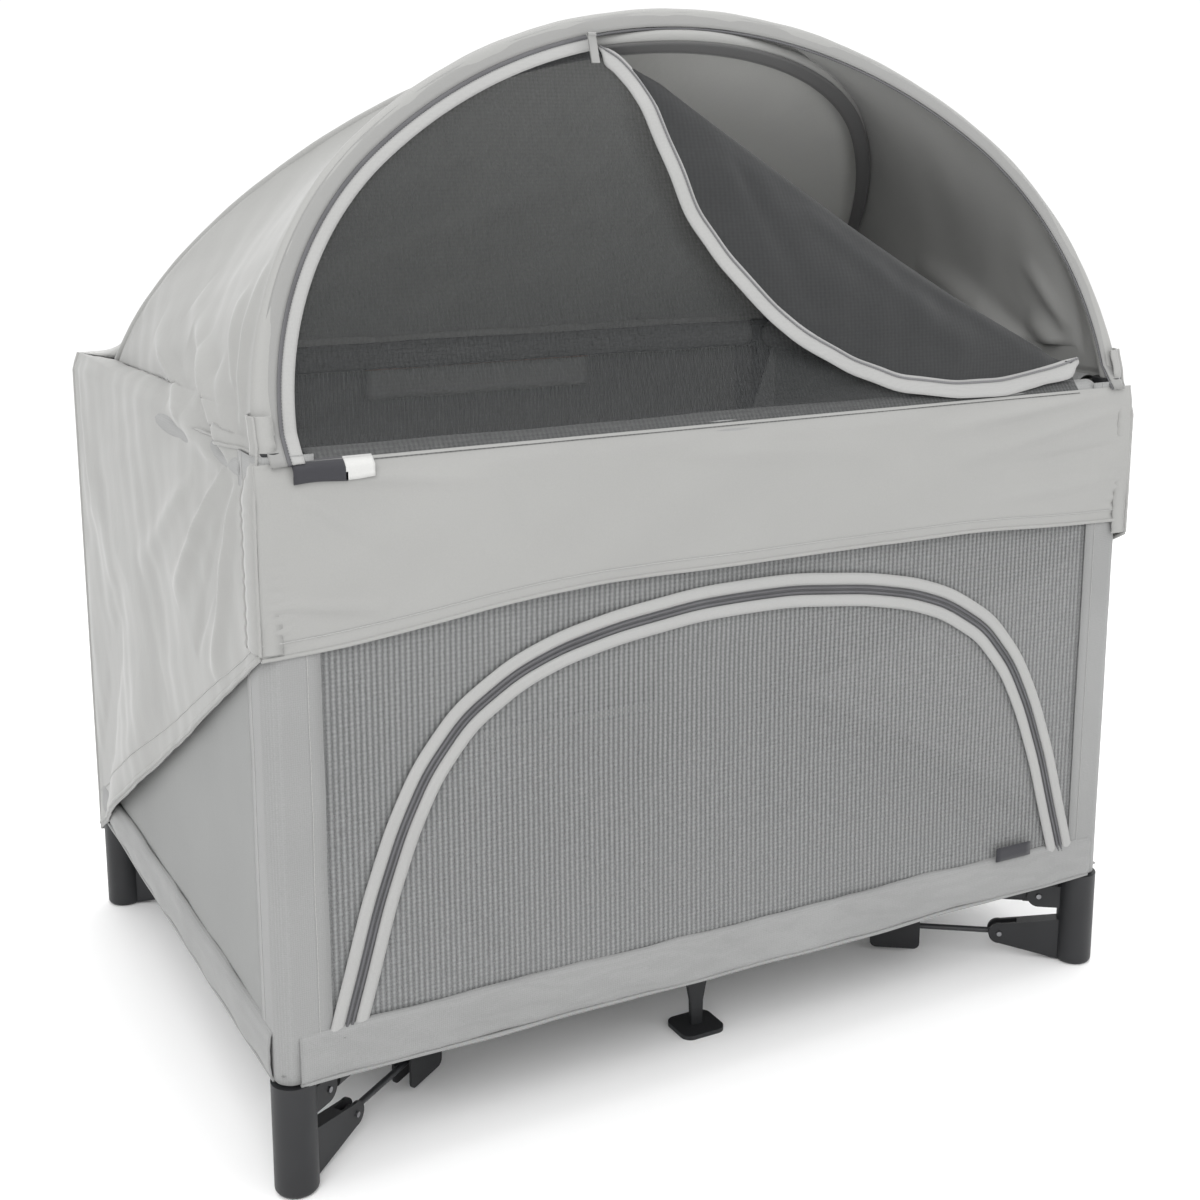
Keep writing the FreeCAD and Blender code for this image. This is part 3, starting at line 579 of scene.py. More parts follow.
def corner_edge(front, count):
    """The canopy's corner below its hoops: from the drape's lower edge up to the wall's top."""
    if not front:
        top = np.array([-DRAPE_X + 0.006, DRAPE_Y - 0.004, SHOULDER_Z])
        z = np.linspace(DRAPE_LOW, top[2], count)
        bend = smooth((z - (top[2] - 0.02)) / 0.02)
        return np.stack([lerp(-DRAPE_X, top[0], bend), lerp(DRAPE_Y, top[1], bend), z], 1)
    top = FRONT.line(0.0, -SLEEVE_R)
    z = np.linspace(SKIRT_LOW, top[2], count)
    bend = smooth((z - (top[2] - 0.07)) / 0.07)
    return np.stack([lerp(-DRAPE_X, top[0], bend), lerp(-DRAPE_Y, top[1], bend), z], 1)


def side_edges():
    """Front and rear edge of a side panel, row by row from the lower hem to the crown."""
    rise = np.linspace(0, YOKE_S, ROWS_YOKE)
    front = [corner_edge(True, ROWS_LOW)[:-1], FRONT.line(rise, -SLEEVE_R * 0.75)[:-1],
             FRONT.line(np.linspace(YOKE_S, 0.5, ROWS_HIGH), -SLEEVE_R * 0.75)]
    low = corner_edge(False, ROWS_LOW)
    high = REAR.line(np.linspace(0, 0.5, ROWS_HIGH), -SLEEVE_R * 0.75)
    yoke = lerp(low[-1], high[0], np.linspace(0, 1, ROWS_YOKE)[:, None])
    return np.concatenate(front), np.concatenate([low[:-1], yoke[:-1], high])


SIDE_FOLDS = [
    # start and end over (Y, Z), width and height; they fan out from the front corner
    ((-0.325, 0.722), (-0.225, 0.795), 0.016, 0.009),
    ((-0.312, 0.718), (-0.150, 0.806), 0.016, 0.009),
    ((-0.305, 0.716), (-0.045, 0.852), 0.022, 0.010),
    ((-0.295, 0.712), (-0.080, 0.815), 0.018, -0.008),
    ((-0.290, 0.785), (-0.240, 0.868), 0.016, 0.007),
    ((-0.320, 0.745), (-0.285, 0.900), 0.014, 0.006),
    ((-0.125, 0.732), (0.060, 0.803), 0.014, 0.008),
    ((-0.270, 0.706), (-0.060, 0.745), 0.014, 0.006),
    ((-0.290, 0.708), (-0.100, 0.540), 0.015, 0.010),
    ((-0.310, 0.704), (-0.170, 0.500), 0.012, -0.008),
    ((-0.325, 0.700), (-0.235, 0.490), 0.014, 0.008),
    ((-0.180, 0.680), (0.050, 0.540), 0.020, 0.006),
    ((0.34, 0.13), (-0.02, 0.42), 0.050, 0.008),
    ((0.35, 0.16), (0.14, 0.52), 0.040, -0.007),
    ((0.36, 0.71), (0.20, 0.48), 0.045, 0.006),
    ((0.37, 0.73), (0.30, 0.56), 0.020, -0.005),
]


def side_panel(side, folds, seed):
    """Gore and slanting drape of one side, as one cloth from the front hoop to the rear hoop."""
    fronts, rears = side_edges()
    Q = np.broadcast_to(np.linspace(0, 1, len(fronts))[:, None], (len(fronts), COLUMNS))
    low, yoke = (ROWS_LOW - 1) / len(fronts), (ROWS_LOW + ROWS_YOKE - 2) / len(fronts)
    t = np.linspace(0, 1, COLUMNS)[None, :]
    P = lerp(fronts[:, None], rears[:, None], t[..., None])
    hang = np.sin(math.pi * t) ** 0.8
    sag = smooth((Q - yoke) / 0.2) * hang * 0.020 * smooth((1 - Q) / 0.3)
    N = normals(P)
    N = N * np.sign((N * np.array([-1, 0, 0.2])).sum(-1, keepdims=True))
    Y, Z = P[..., 1], P[..., 2]
    hold = smooth(t / 0.06) * smooth((1 - t) / 0.05) * smooth((1 - Q) / 0.12)
    lift = ridges(Y, Z, folds) * hold + ripple(Y, Z, seed, 0.42, 3) * 0.0030 * hold
    lift = lift + (1 - smooth((Q - low * 0.8) / 0.1)) * hang * 0.005
    lift = np.where((Q < yoke) & (lift < -0.001), -0.001, lift)
    P = P + N * (lift - sag)[..., None]
    P[..., 0] -= 0.0015 * np.exp(-((Q * len(fronts) / 3) ** 2))
    P[..., 0] *= -side
    return P


def canopy_sides():
    for name, side, seed in (("left", -1, 3), ("right", 1, 11)):
        folds = SIDE_FOLDS
        if side > 0:
            folds = [(a, b, w, h * (0.8 if i % 2 else -0.9)) for i, (a, b, w, h) in enumerate(folds)]
        P = side_panel(side, folds, seed)
        piece = sheet("canopy_side_" + name, P, CLOTH)
        dress(piece, "canopy", CANOPY, "canopy_cloth", "canopy_gore_" + name)
        canopy_piece(tube("drape_hem_" + name, P[1], 0.0028, 8))
        N = normals(P)
        N *= np.sign(N[..., :1] * side)
        stitch_line("drape_stitch_" + name, P[6] + N[6] * 0.0008, 0.0008)
        seam = ROWS_LOW - 4
        across = P[seam, :40] + N[seam, :40] * 0.0012
        canopy_piece(tube("gore_seam_" + name, across, 0.0017 * smooth(np.linspace(6, 0, 40)), 8))


def stitch_line(name, path, radius):
    """A sewn seam: a fine thread that dips into the cloth at each stitch."""
    across = np.broadcast_to(np.array([0.0, 0.0, 1.0]), path.shape)
    canopy_piece(coil(name, path, radius, 0.006, across), PIPING)


def canopy_back():
    """Rear panel from the rear hoop down to the back wall's top, and the drape below, as one cloth."""
    s = np.linspace(0.0, 1.0, 131)
    arc = REAR.line(s, SLEEVE_R * 0.2, 0.004)
    corner = corner_edge(False, 30)
    top = np.stack([np.linspace(corner[-1][0], -corner[-1][0], len(s)),
                    np.full(len(s), corner[-1][1]), np.full(len(s), corner[-1][2])], 1)
    rows = np.linspace(0, 1, 64)[:, None, None]
    panel = lerp(top[None], arc[None], rows)
    sag = 0.022 * np.sin(math.pi * rows[..., 0]) * np.sin(math.pi * s)[None]
    panel[..., 2] -= sag
    drape = np.stack([np.stack([np.linspace(x, -x, len(s)), np.full(len(s), y),
                                np.full(len(s), z)], 1) for x, y, z in corner[:-1]])
    P = np.concatenate([drape, panel])
    X, Z = P[..., 0], P[..., 2]
    low = 1 - smooth((Z - 0.66) / 0.08)
    edge = smooth((DRAPE_X - np.abs(X)) / 0.06)
    P[..., 1] += low * edge * (0.0025 + 0.0022 * ripple(X * 2.2, Z * 0.5, 21, 0.5, 3))
    N = normals(P)
    N *= np.sign(N[..., 1:2] + N[..., 2:3])
    folds = [((-0.50, 0.76), (-0.15, 0.93), 0.03, 0.007), ((0.50, 0.76), (0.12, 0.91), 0.03, 0.007),
             ((-0.50, 0.75), (-0.25, 0.83), 0.025, -0.006), ((0.50, 0.75), (0.28, 0.84), 0.03, -0.006)]
    lift = (ridges(X, Z, folds) + ripple(X, Z, 5, 0.5, 2) * 0.003) * edge
    P += N * (lift * (1 - low))[..., None]
    piece = sheet("canopy_back", P, CLOTH)
    # The rear panel wears the lighter, glowing copy of the canopy cloth, which is painted light.
    dress(piece, "canopy", REAR_CLOTH_PAINTED_LIGHT, "canopy_cloth", "canopy_rear")
    canopy_piece(tube("drape_hem_back", P[1], 0.0028, 8))


def sleeve(name, bow, tail=()):
    """The tunnel of cloth that holds a hoop's pole. Its ends may run on down a corner."""
    s = np.linspace(0.0, 1.0, 161)
    path = bow.line(s)
    radial = bow.line(s, -0.01) - path
    wobble = 1 + 0.05 * ripple(s * 4, s * 0, 9, 0.5, 2)
    swell = 1 + 0.25 * (1 - smooth(np.minimum(s, 1 - s) / 0.06))
    radius = SLEEVE_R * wobble * swell
    if len(tail):
        tail = np.array(tail)
        mirrored = tail * np.array([-1, 1, 1])
        path = np.concatenate([tail, path, mirrored[::-1]])
        radial = np.concatenate([np.repeat(radial[:1], len(tail), 0), radial,
                                 np.repeat(radial[-1:], len(tail), 0)])
        shrink = radius[0] * np.linspace(0.35, 0.95, len(tail))
        radius = np.concatenate([shrink, radius, shrink[::-1]])
    canopy_piece(tube(name, path, radius, 14, radial, 0.66))


def arch_strip(name, bow, near, far, s0, s1, out, thick, material, slot_name, count=200, crown=0.0):
    """A band of cloth that follows a hoop, from one distance inside it to another."""
    s = np.linspace(s0, s1, count)
    across = np.linspace(0, 1, 5)
    P = np.stack([bow.line(s, lerp(near, far, a), out + crown * math.sin(math.pi * a))
                  for a in across], 1)
    if bow is FRONT:
        P = over_rail(P, out)
    return dress(sheet(name, P, thick), "canopy", material, slot_name)


PULL_U = -0.118
PULL_S = FRONT.s_at(PULL_U, ZIP_IN)
FOLD_LINE = np.array([[-0.106, 0.380], [-0.062, 0.352], [0.058, 0.265], [0.170, 0.183],
                      [0.291, 0.099], [0.414, 0.025], [0.446, 0.012]])
FREE_EDGE = np.array([[-0.106, 0.380], [-0.085, 0.371], [-0.066, 0.347], [-0.054, 0.309],
                      [-0.045, 0.279], [-0.033, 0.235], [-0.022, 0.200], [0.002, 0.156],
                      [0.031, 0.118], [0.077, 0.071], [0.136, 0.038], [0.198, 0.012],
                      [0.266, 0.001], [0.338, 0.000], [0.416, 0.010], [0.4576, 0.018]])


def window_mesh():
    """The closed part of the front window: net from the base line up to the arch and the fold."""
    arch_s = np.linspace(0.0, FRONT.s_at(FOLD_LINE[0][0], TAPE_IN), 400)
    arch = np.stack(FRONT.uv(arch_s, TAPE_IN - 0.002), 1)
    fold = curve(FOLD_LINE, 200)
    outline = np.concatenate([arch, fold])
    us = np.linspace(outline[0, 0], outline[-1, 0], 170)
    tops = np.interp(us, outline[:, 0], outline[:, 1])
    rows = np.linspace(0, 1, 64)
    base = BASE_V - 0.004
    U = np.broadcast_to(us[:, None], (len(us), len(rows)))
    V = base + (np.maximum(tops, base + 0.001) - base)[:, None] * rows[None, :]
    folds = [((-0.40, 0.16), (-0.10, 0.26), 0.012, 0.006), ((-0.42, 0.12), (-0.05, 0.20), 0.016, -0.005),
             ((-0.20, 0.38), (-0.30, 0.10), 0.02, 0.006), ((-0.16, 0.37), (-0.18, 0.12), 0.018, -0.005),
             ((-0.12, 0.35), (-0.02, 0.10), 0.02, 0.005), ((-0.40, 0.20), (-0.22, 0.30), 0.012, 0.004)]
    inside = np.sin(math.pi * rows)[None, :] * smooth((us + FRONT.half) / 0.08)[:, None]
    bulge = -0.006 * inside + ridges(U, V, folds) + 0.002 * ripple(U, V, 4, 0.3, 2) * inside
    piece = sheet("window_net", over_rail(FRONT.at(U, V, bulge)))
    dress(piece, "canopy", WINDOW_NET, "window_mesh", "canopy_window")


def flap():
    """The unzipped corner of the window, folded out along a slant and hanging in front."""
    count = 130
    t = np.linspace(0, 1, count)
    fold, free = curve(FOLD_LINE, count, 0.04), curve(FREE_EDGE, count, 0.05)
    rows = np.linspace(0, 1, 40)
    depth = np.linalg.norm(free - fold, axis=1)[:, None]
    U = lerp(fold[:, 0:1], free[:, 0:1], rows[None])
    V = lerp(fold[:, 1:2], free[:, 1:2], rows[None])
    round_share = 0.12
    roll = FLAP_ROLL * np.sqrt(1 - np.clip(1 - rows / round_share, 0, 1) ** 2)
    belly = 0.014 * np.sin(math.pi * rows)[None] * depth / depth.max()
    out = 0.001 + roll[None] * smooth(depth / 0.03) + belly
    out = out + 0.0022 * ripple(U, V, 31, 0.2, 2) * smooth(rows / 0.3)[None] * smooth(depth / 0.05)
    folds = [((0.10, 0.20), (0.30, 0.02), 0.02, 0.004), ((0.02, 0.26), (0.10, 0.08), 0.018, -0.004),
             ((0.20, 0.14), (0.40, 0.02), 0.015, 0.004)]
    P = over_rail(FRONT.at(U, V, out + ridges(U, V, folds) * smooth(depth / 0.05)), 0.002)
    piece = sheet("window_flap", P)
    dress(piece, "canopy", FLAP_NET, "window_mesh", "canopy_flap")
    edge = P[:, -1]
    run = np.gradient(free, axis=0)
    run /= np.linalg.norm(run, axis=1, keepdims=True)
    side = np.stack([run[:, 1], -run[:, 0]], 1)
    width = 0.0175 * smooth(t / 0.02) * smooth((1.02 - t) / 0.05)
    bands = []
    for a in np.linspace(-0.15, 1, 6):
        shift = side * (width * a)[:, None]
        bulge = FRONT.out * 0.0012 * math.sin(math.pi * max(a, 0))
        bands.append(edge + np.outer(shift[:, 0], [1, 0, 0]) + np.outer(shift[:, 1], FRONT.up) + bulge)
    band = np.stack(bands, 1)
    band[..., 2] = np.maximum(band[..., 2], FRONT.foot[2] + BASE_V * 0.9)
    band = over_rail(band, 0.004)
    dress(sheet("flap_tape", band, 0.0016), "canopy", PIPING, "zip_tape")
    inner = band[:, 1] + FRONT.out * 0.0016
    across = np.gradient(band, axis=1)[:, 1]
    dress(coil("flap_coil", inner, 0.0013, 0.003, across), "canopy", TAPE_MID, "zip_teeth")


def front_zipper():
    """Outer band, coil and inner tape along the front hoop. The right part stands open."""
    strips = [
        ("arch_band", -0.004, ZIP_IN - 0.002, -LEAD, 1 + LEAD, 0.0052, 0.0016, BAND_CLOTH, "canopy_cloth"),
        ("zip_tape_inner", ZIP_IN + 0.002, TAPE_IN, -LEAD, PULL_S, 0.0045, CLOTH, PIPING, "zip_tape"),
    ]
    for name, near, far, s0, s1, out, thick, material, slot_name in strips:
        arch_strip(name, FRONT, near, far, s0, s1, out, thick, material, slot_name, 220, 0.0008)
    s = np.linspace(-LEAD, 1.0 + LEAD, 260)
    wide = FRONT.line(s, -0.01) - FRONT.line(s)
    path = over_rail(FRONT.line(s, ZIP_IN, 0.005), 0.005)
    for name, part, radius in (("closed", s <= PULL_S, 0.0026), ("open", s >= PULL_S, 0.0014)):
        dress(coil("zip_coil_" + name, path[part], radius, 0.003, wide[part]),
              "canopy", TEETH, "zip_teeth")


def skirt():
    """Front skirt: from the window's base line over the rail and down to its stitched hem."""
    xs = np.linspace(-DRAPE_X, DRAPE_X, 240)
    share = (xs + DRAPE_X) / (2 * DRAPE_X)
    low = SKIRT_LOW + (SKIRT_MID - SKIRT_LOW) * smooth(share / 0.35) - 0.010 * smooth((share - 0.75) / 0.25)
    top = FRONT.foot + FRONT.up * BASE_V
    rows = np.linspace(0, 1, 64)
    Z = low[:, None] + (top[2] - low)[:, None] * rows[None]
    X = np.broadcast_to(xs[:, None], Z.shape)
    bend = smooth((Z - (top[2] - 0.020)) / 0.020) ** 1.2
    Y = lerp(np.full_like(Z, -DRAPE_Y), np.full_like(Z, rail_front(top[2]) - 0.0014), bend)
    folds = [((-0.50, 0.715), (-0.30, 0.695), 0.009, 0.003), ((-0.52, 0.60), (-0.40, 0.58), 0.008, 0.003),
             ((-0.49, 0.70), (-0.40, 0.64), 0.010, 0.003), ((0.51, 0.725), (0.22, 0.695), 0.010, 0.0045),
             ((0.51, 0.70), (0.26, 0.66), 0.012, 0.0045), ((0.51, 0.66), (0.33, 0.645), 0.009, -0.003),
             ((0.50, 0.62), (0.30, 0.61), 0.012, 0.003), ((-0.1, 0.70), (0.18, 0.68), 0.014, 0.002)]
    puff = 0.003 * np.sin(math.pi * rows)[None]
    wrinkle = ridges(X, Z, folds) + 0.0014 * ripple(X, Z * 1.6, 8, 0.35, 3)
    gather = np.exp(-(((np.abs(X) - 0.512) / 0.012) ** 2)) * np.exp(-(((Z - SKIRT_LOW - 0.03) / 0.05) ** 2))
    ruffle = 0.0012 * np.sin(Z * 520 + 2 * ripple(X, Z, 2, 0.2, 1)) * gather
    edge = smooth((DRAPE_X - np.abs(X)) / 0.02)
    Y = Y - (puff * (1 - bend) + wrinkle * edge * (1 - bend) + ruffle * edge)
    P = np.stack([X, Y, Z], -1)
    piece = sheet("canopy_skirt", P, CLOTH)
    dress(piece, "canopy", CANOPY, "canopy_cloth", "canopy_drapes")
    canopy_piece(tube("skirt_hem", P[:, 0], 0.0024, 8))
    stitch_line("skirt_stitch", P[:, 5] + np.array([0, -0.0011, 0]), 0.0007)


def corner_piping():
    """The hoops' tunnels run on down the corners: a flat strip between two stitched seams."""
    for name, side in (("left", -1), ("right", 1)):
        z = np.linspace(SKIRT_LOW + 0.004, FRONT.foot[2] + 0.026, 130)
        share = smooth((z - 0.69) / 0.05)
        lines = [(-DRAPE_X - 0.0016, -DRAPE_Y + 0.036), (-DRAPE_X - 0.0034, -DRAPE_Y + 0.022),
                 (-DRAPE_X - 0.0030, -DRAPE_Y + 0.008), (-DRAPE_X - 0.0004, -DRAPE_Y - 0.0012),
                 (-DRAPE_X + 0.010, -DRAPE_Y - 0.0022), (-DRAPE_X + 0.020, -DRAPE_Y - 0.0014)]
        lean = np.maximum(z - FRONT.foot[2], 0) * FRONT.up[1] / FRONT.up[2]
        rolled = [(-FRONT.half + STRIP_R * math.cos(a), FRONT.foot[1] + lean + STRIP_R * math.sin(a))
                  for a in np.linspace(2.1, 5.0, len(lines))]
        pucker = 0.0005 * np.sin(z * 430 + 2 * ripple(z, z, 6, 0.1, 1))
        P = np.stack([np.stack([lerp(x, rx, share) - pucker * (0.3 + 0.7 * (k in (0, 5))),
                                lerp(y, ry, share), z], 1)
                      for k, ((x, y), (rx, ry)) in enumerate(zip(lines, rolled))], 1)
        P[..., 0] *= -side
        canopy_piece(sheet("corner_strip_" + name, P, CLOTH))
        for number, row in enumerate((0, 3)):
            path = P[:, row] + np.array([side * 0.0008, -0.0006, 0])
            canopy_piece(tube(f"corner_seam_{name}_{number}", path, 0.0017, 8))
        back = corner_edge(False, 60)
        back[:, 0] *= -side
        canopy_piece(tube("corner_seam_back_" + name, back, 0.0028, 10))


def tags():
    """Two blank woven tags that hang from the window's lower corner."""
    for name, u0, u1, drop, material in (("tag_dark", -0.491, -0.440, 0.021, TAG_DARK),
                                         ("tag_light", -0.442, -0.414, 0.020, TAG_LIGHT)):
        u = np.linspace(u0, u1, 12)
        rows = np.linspace(0, 1, 6)
        V = BASE_V + 0.001 - drop * rows[None] + 0.001 * np.sin(u * 90)[:, None] * rows[None]
        Z = FRONT.foot[2] + V * FRONT.up[2]
        Y = np.full_like(Z, -DRAPE_Y - 0.0055) + 0.010 * (1 - smooth(rows / 0.35))[None]
        P = np.stack([np.broadcast_to(u[:, None], Z.shape), Y, Z], -1)
        dress(sheet(name, P, 0.0012), "canopy", material, "label_cloth")


canopy_sides()
canopy_back()
CORNER_IN = 0.008
sleeve("front_sleeve", FRONT, [(-DRAPE_X + CORNER_IN, -DRAPE_Y + CORNER_IN, z)
                               for z in np.linspace(SKIRT_LOW + 0.02, RAIL_Z - 0.03, 8)])
sleeve("rear_sleeve", REAR)
# Painted shade: a dark band laid along the rear sleeve where it lies in shadow.
arch_strip("rear_band_painted_shade", REAR, -0.004, 0.014, 0.0, 1.0, -0.0085, CLOTH, SLEEVE_PAINTED_SHADE, "canopy_cloth")
window_mesh()
flap()
front_zipper()
skirt()
corner_piping()
tags()

# ---- walls

# Right half of the door's arch, over (X, Z): a side that leans in, a round shoulder, a low crown
DOOR = np.array([[0.456, 0.158], [0.450, 0.180], [0.440, 0.212], [0.4185, 0.287], [0.393, 0.356],
                 [0.366, 0.410], [0.325, 0.460], [0.268, 0.496], [0.218, 0.514], [0.155, 0.527],
                 [0.060, 0.538], [0.0, 0.539]])
SIDES = {
    # name: (along X?, sign of the outward axis, body, squash anchor)
    "front": (True, -1, "leg_front_left", (-POST_X, -POST_Y, 0.4)),
    "back": (True, 1, "leg_back_right", (POST_X, POST_Y, 0.4)),
    "left": (False, -1, "leg_back_left", (-POST_X, POST_Y, 0.4)),
    "right": (False, 1, "leg_front_right", (POST_X, -POST_Y, 0.4)),
}


def wall_point(side, along, out, z):
    """A point of a wall: along it, out from the post line, and up."""
    is_x, sign, _, _ = SIDES[side]
    along, out, z = np.broadcast_arrays(along, out, z)
    if is_x:
        return np.stack([along, sign * (POST_Y + out), z], -1)
    return np.stack([sign * (POST_X + out), along, z], -1)


def on_wall(piece, side, material, slot_name, *nodes):
    """Dresses a piece of a wall and hangs it on its leg."""
    is_x, _, body, anchor = SIDES[side]
    dress(piece, body, material, slot_name, *nodes)
    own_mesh(piece)
    return piece


def span(side):
    return POST_X if SIDES[side][0] else POST_Y


def wall_cloth(side):
    """The main panel of one wall, between the hem band and the rail cover."""
    half = span(side) - 0.004
    a, z = np.linspace(-half, half, 150), np.linspace(HEM_Z + 0.02, RAIL_Z - 0.01, 70)
    A, Z = np.meshgrid(a, z, indexing="ij")
    # Known fault: rounding takes this just below zero at the far edge of the two end walls, and
    # the power below then has no value, so their last column of points makes stray faces.
    inward = np.sin(math.pi * (A + half) / (2 * half)) * np.sin(math.pi * (Z - z[0]) / (z[-1] - z[0]))
    net = SIDES[side][0]
    out = 0.0160 - (0.006 if net else 0.004) * inward ** 0.7
    out = out + 0.0012 * ripple(A, Z, 40 + len(side), 0.4, 2) * inward
    piece = sheet(f"wall_cloth_{side}", wall_point(side, A, out, Z), 0.0 if net else 0.0012)
    on_wall(piece, side, SIDE_NET if net else END_CLOTH, "side_mesh" if net else "grey_cloth",
            "wall_" + side)


def hem_band(side, seed):
    """Canvas band round the bottom of a wall, folded under at its lower edge."""
    half = span(side) - 0.002
    a = np.linspace(-half, half, 160)
    rows = np.linspace(0, 1, 16)
    low = HEM_Z - 0.002 + 0.0015 * ripple(a, a * 0, seed, 0.4, 2)
    high = HEM_Z + HEM_H + 0.0012 * ripple(a, a * 0, seed + 1, 0.3, 2)
    Z = low[:, None] + (high - low)[:, None] * rows[None]
    A = np.broadcast_to(a[:, None], Z.shape)
    out = 0.0195 + 0.0012 * ripple(A, Z * 3, seed + 2, 0.25, 3) + 0.002 * np.sin(math.pi * rows)[None]
    out = out - 0.0035 * smooth((rows - 0.9) / 0.1)[None] - 0.003 * smooth((0.08 - rows) / 0.08)[None]
    P = wall_point(side, A, out, Z)
    on_wall(sheet("hem_band_" + side, P, 0.0016), side, CANVAS, "grey_cloth")
    under = wall_point(side, a, 0.018, low - 0.001)
    on_wall(tube("hem_roll_" + side, under, 0.0024, 8), side, CANVAS, "grey_cloth")


def rail_cover(side):
    """The wall's top, wrapped round the rail."""
    half = span(side) - 0.03
    a = np.linspace(-half, half, 90)
    turn = np.linspace(-0.35, 1.35, 22) * math.pi
    radius = 0.0185 + 0.0006 * ripple(a, a * 0, 60, 0.3, 2)[:, None]
    A = np.broadcast_to(a[:, None], (len(a), len(turn)))
    out = radius * np.cos(turn)[None]
    Z = RAIL_Z + radius * np.sin(turn)[None]
    P = wall_point(side, A, out, Z)
    on_wall(sheet("rail_cover_" + side, P, CLOTH), side, CANVAS, "grey_cloth")


def corner_cover(name, sx, sy):
    """Canvas strip round a post: a quarter round with a flat return on each wall."""
    body = "leg_" + name
    radius, flat = 0.0175, 0.036
    turn = np.linspace(0, math.pi / 2, 14)
    line = [(-flat, radius)] + [(-flat * k, radius) for k in (0.66, 0.33)]
    line += [(radius * math.sin(t), radius * math.cos(t)) for t in turn]
    line += [(radius, -flat * k) for k in (0.33, 0.66)] + [(radius, -flat)]
    line = np.array(line)
    z = np.linspace(HEM_Z - 0.001, WALL_TOP, 60)
    across = np.arange(len(line))
    L, Z = np.meshgrid(across, z, indexing="ij")
    base = line[L]
    soft = 0.0006 * ripple(L * 0.02, Z, 70 + sx + 2 * sy, 0.25, 3)
    P = np.stack([sx * (POST_X + base[..., 0] * (1 + soft * 20)),
                  sy * (POST_Y + base[..., 1] * (1 + soft * 20)), Z], -1)
    dress(sheet("corner_cover_" + name, P, CLOTH), body, CANVAS, "grey_cloth")
    for k, index in enumerate((1, len(line) - 2)):
        seam = P[index] + np.array([sx * 0.0008, sy * 0.0008, 0])
        piece = coil(f"corner_stitch_{name}_{k}", seam, 0.0007, 0.005,
                     np.broadcast_to(np.array([0.7, 0.7, 0.0]), seam.shape))
        dress(piece, body, PIPING, "grey_cloth")


def door_zipper():
    """The arched door zipper on the front wall: two light tapes beside a dark double coil."""
    centre = curve(np.concatenate([DOOR * np.array([-1, 1]), DOOR[::-1][1:]]), 320, 0.05)
    T = np.gradient(centre, axis=0)
    T /= np.linalg.norm(T, axis=1, keepdims=True)
    N = np.stack([-T[:, 1], T[:, 0]], 1)

    def across(off, out):
        """The zipper's line, moved across the zipper and out from the net."""
        return wall_point("front", centre[:, 0] + N[:, 0] * off, stand + out,
                          centre[:, 1] + N[:, 1] * off)

    stand = net_out(centre)
    for name, near, far, out, thick, material, crown in (
        ("outer", 0.0055, 0.0185, 0.0032, CLOTH, PIPING, 0.001),
        ("inner", -0.0055, -0.0185, 0.0032, CLOTH, PIPING, 0.001),
        ("middle", -0.006, 0.006, 0.0022, 0.0010, TAPE_MID, 0.0),
    ):
        P = np.stack([across(lerp(near, far, r), out + crown * math.sin(math.pi * r))
                      for r in np.linspace(0, 1, 5)], 1)
        on_wall(sheet("door_tape_" + name, P, thick), "front", material, "zip_tape")
    wide = np.stack([N[:, 0], np.zeros(len(N)), N[:, 1]], 1)
    for name, off in (("a", -0.0024), ("b", 0.0024)):
        piece = coil("door_coil_" + name, across(off, 0.004), 0.0016, 0.0028, wide)
        on_wall(piece, "front", TEETH, "zip_teeth")


def net_out(points):
    """How far the front wall's net stands out at a point of it."""
    half, low, high = span("front") - 0.004, HEM_Z + 0.02, RAIL_Z - 0.01
    inward = np.sin(math.pi * np.clip((points[:, 0] + half) / (2 * half), 0, 1)) * np.sin(
        math.pi * np.clip((points[:, 1] - low) / (high - low), 0, 1)
    )
    return 0.0160 - 0.006 * inward ** 0.7


def inner_label():
    """Blank label sewn inside the back wall."""
    x = np.linspace(-0.140, 0.204, 30)
    z = np.linspace(0.655, 0.713, 8)
    X, Z = np.meshgrid(x, z, indexing="ij")
    out = 0.004 + 0.002 * ripple(X, Z, 90, 0.2, 2)
    P = wall_point("back", X, out, Z)
    on_wall(sheet("inner_label", P, 0.001), "back", LABEL, "label_cloth")
    small = wall_point("front", *np.broadcast_arrays(
        np.linspace(0.352, 0.404, 8)[:, None], 0.0225,
        np.linspace(HEM_Z + 0.047, HEM_Z + 0.064, 4)[None]))
    on_wall(sheet("hem_tag", small, 0.001), "front", TAG_DARK, "label_cloth")


for number, side in enumerate(SIDES):
    wall_cloth(side)
    hem_band(side, 100 + 10 * number)
    rail_cover(side)
for corner, sx, sy in CORNERS:
    corner_cover(corner, sx, sy)
door_zipper()
inner_label()

# ---- floor and mattress

FLOOR_EDGE = 0.015  # the floor cloth reaches this far outside the posts' axes


def floor_cloth(name, sx, sy):
    """A quarter of the floor cloth, hung on its arm."""
    low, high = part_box("floor_" + name)
    inner = [low[k] if sign > 0 else high[k] for k, sign in enumerate((sx, sy))]
    outer = [sx * (POST_X + FLOOR_EDGE), sy * (POST_Y + FLOOR_EDGE)]
    X, Y = np.meshgrid(*(np.linspace(i, o, 36) for i, o in zip(inner, outer)), indexing="ij")
    Z = np.full_like(X, (low.z + high.z) / 2) + 0.0012 * ripple(X, Y, 50, 0.3, 2)
    turn_up = np.maximum(smooth((np.abs(X) - POST_X + 0.012) / 0.027),
                         smooth((np.abs(Y) - POST_Y + 0.012) / 0.027))
    Z = lerp(Z, HEM_Z + 0.008, turn_up)
    piece = sheet("floor_cloth_" + name, np.stack([X, Y, Z], -1), CLOTH)
    dress(piece, "arm_" + name, CANVAS, "grey_cloth", "floor_" + name)
    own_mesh(piece)


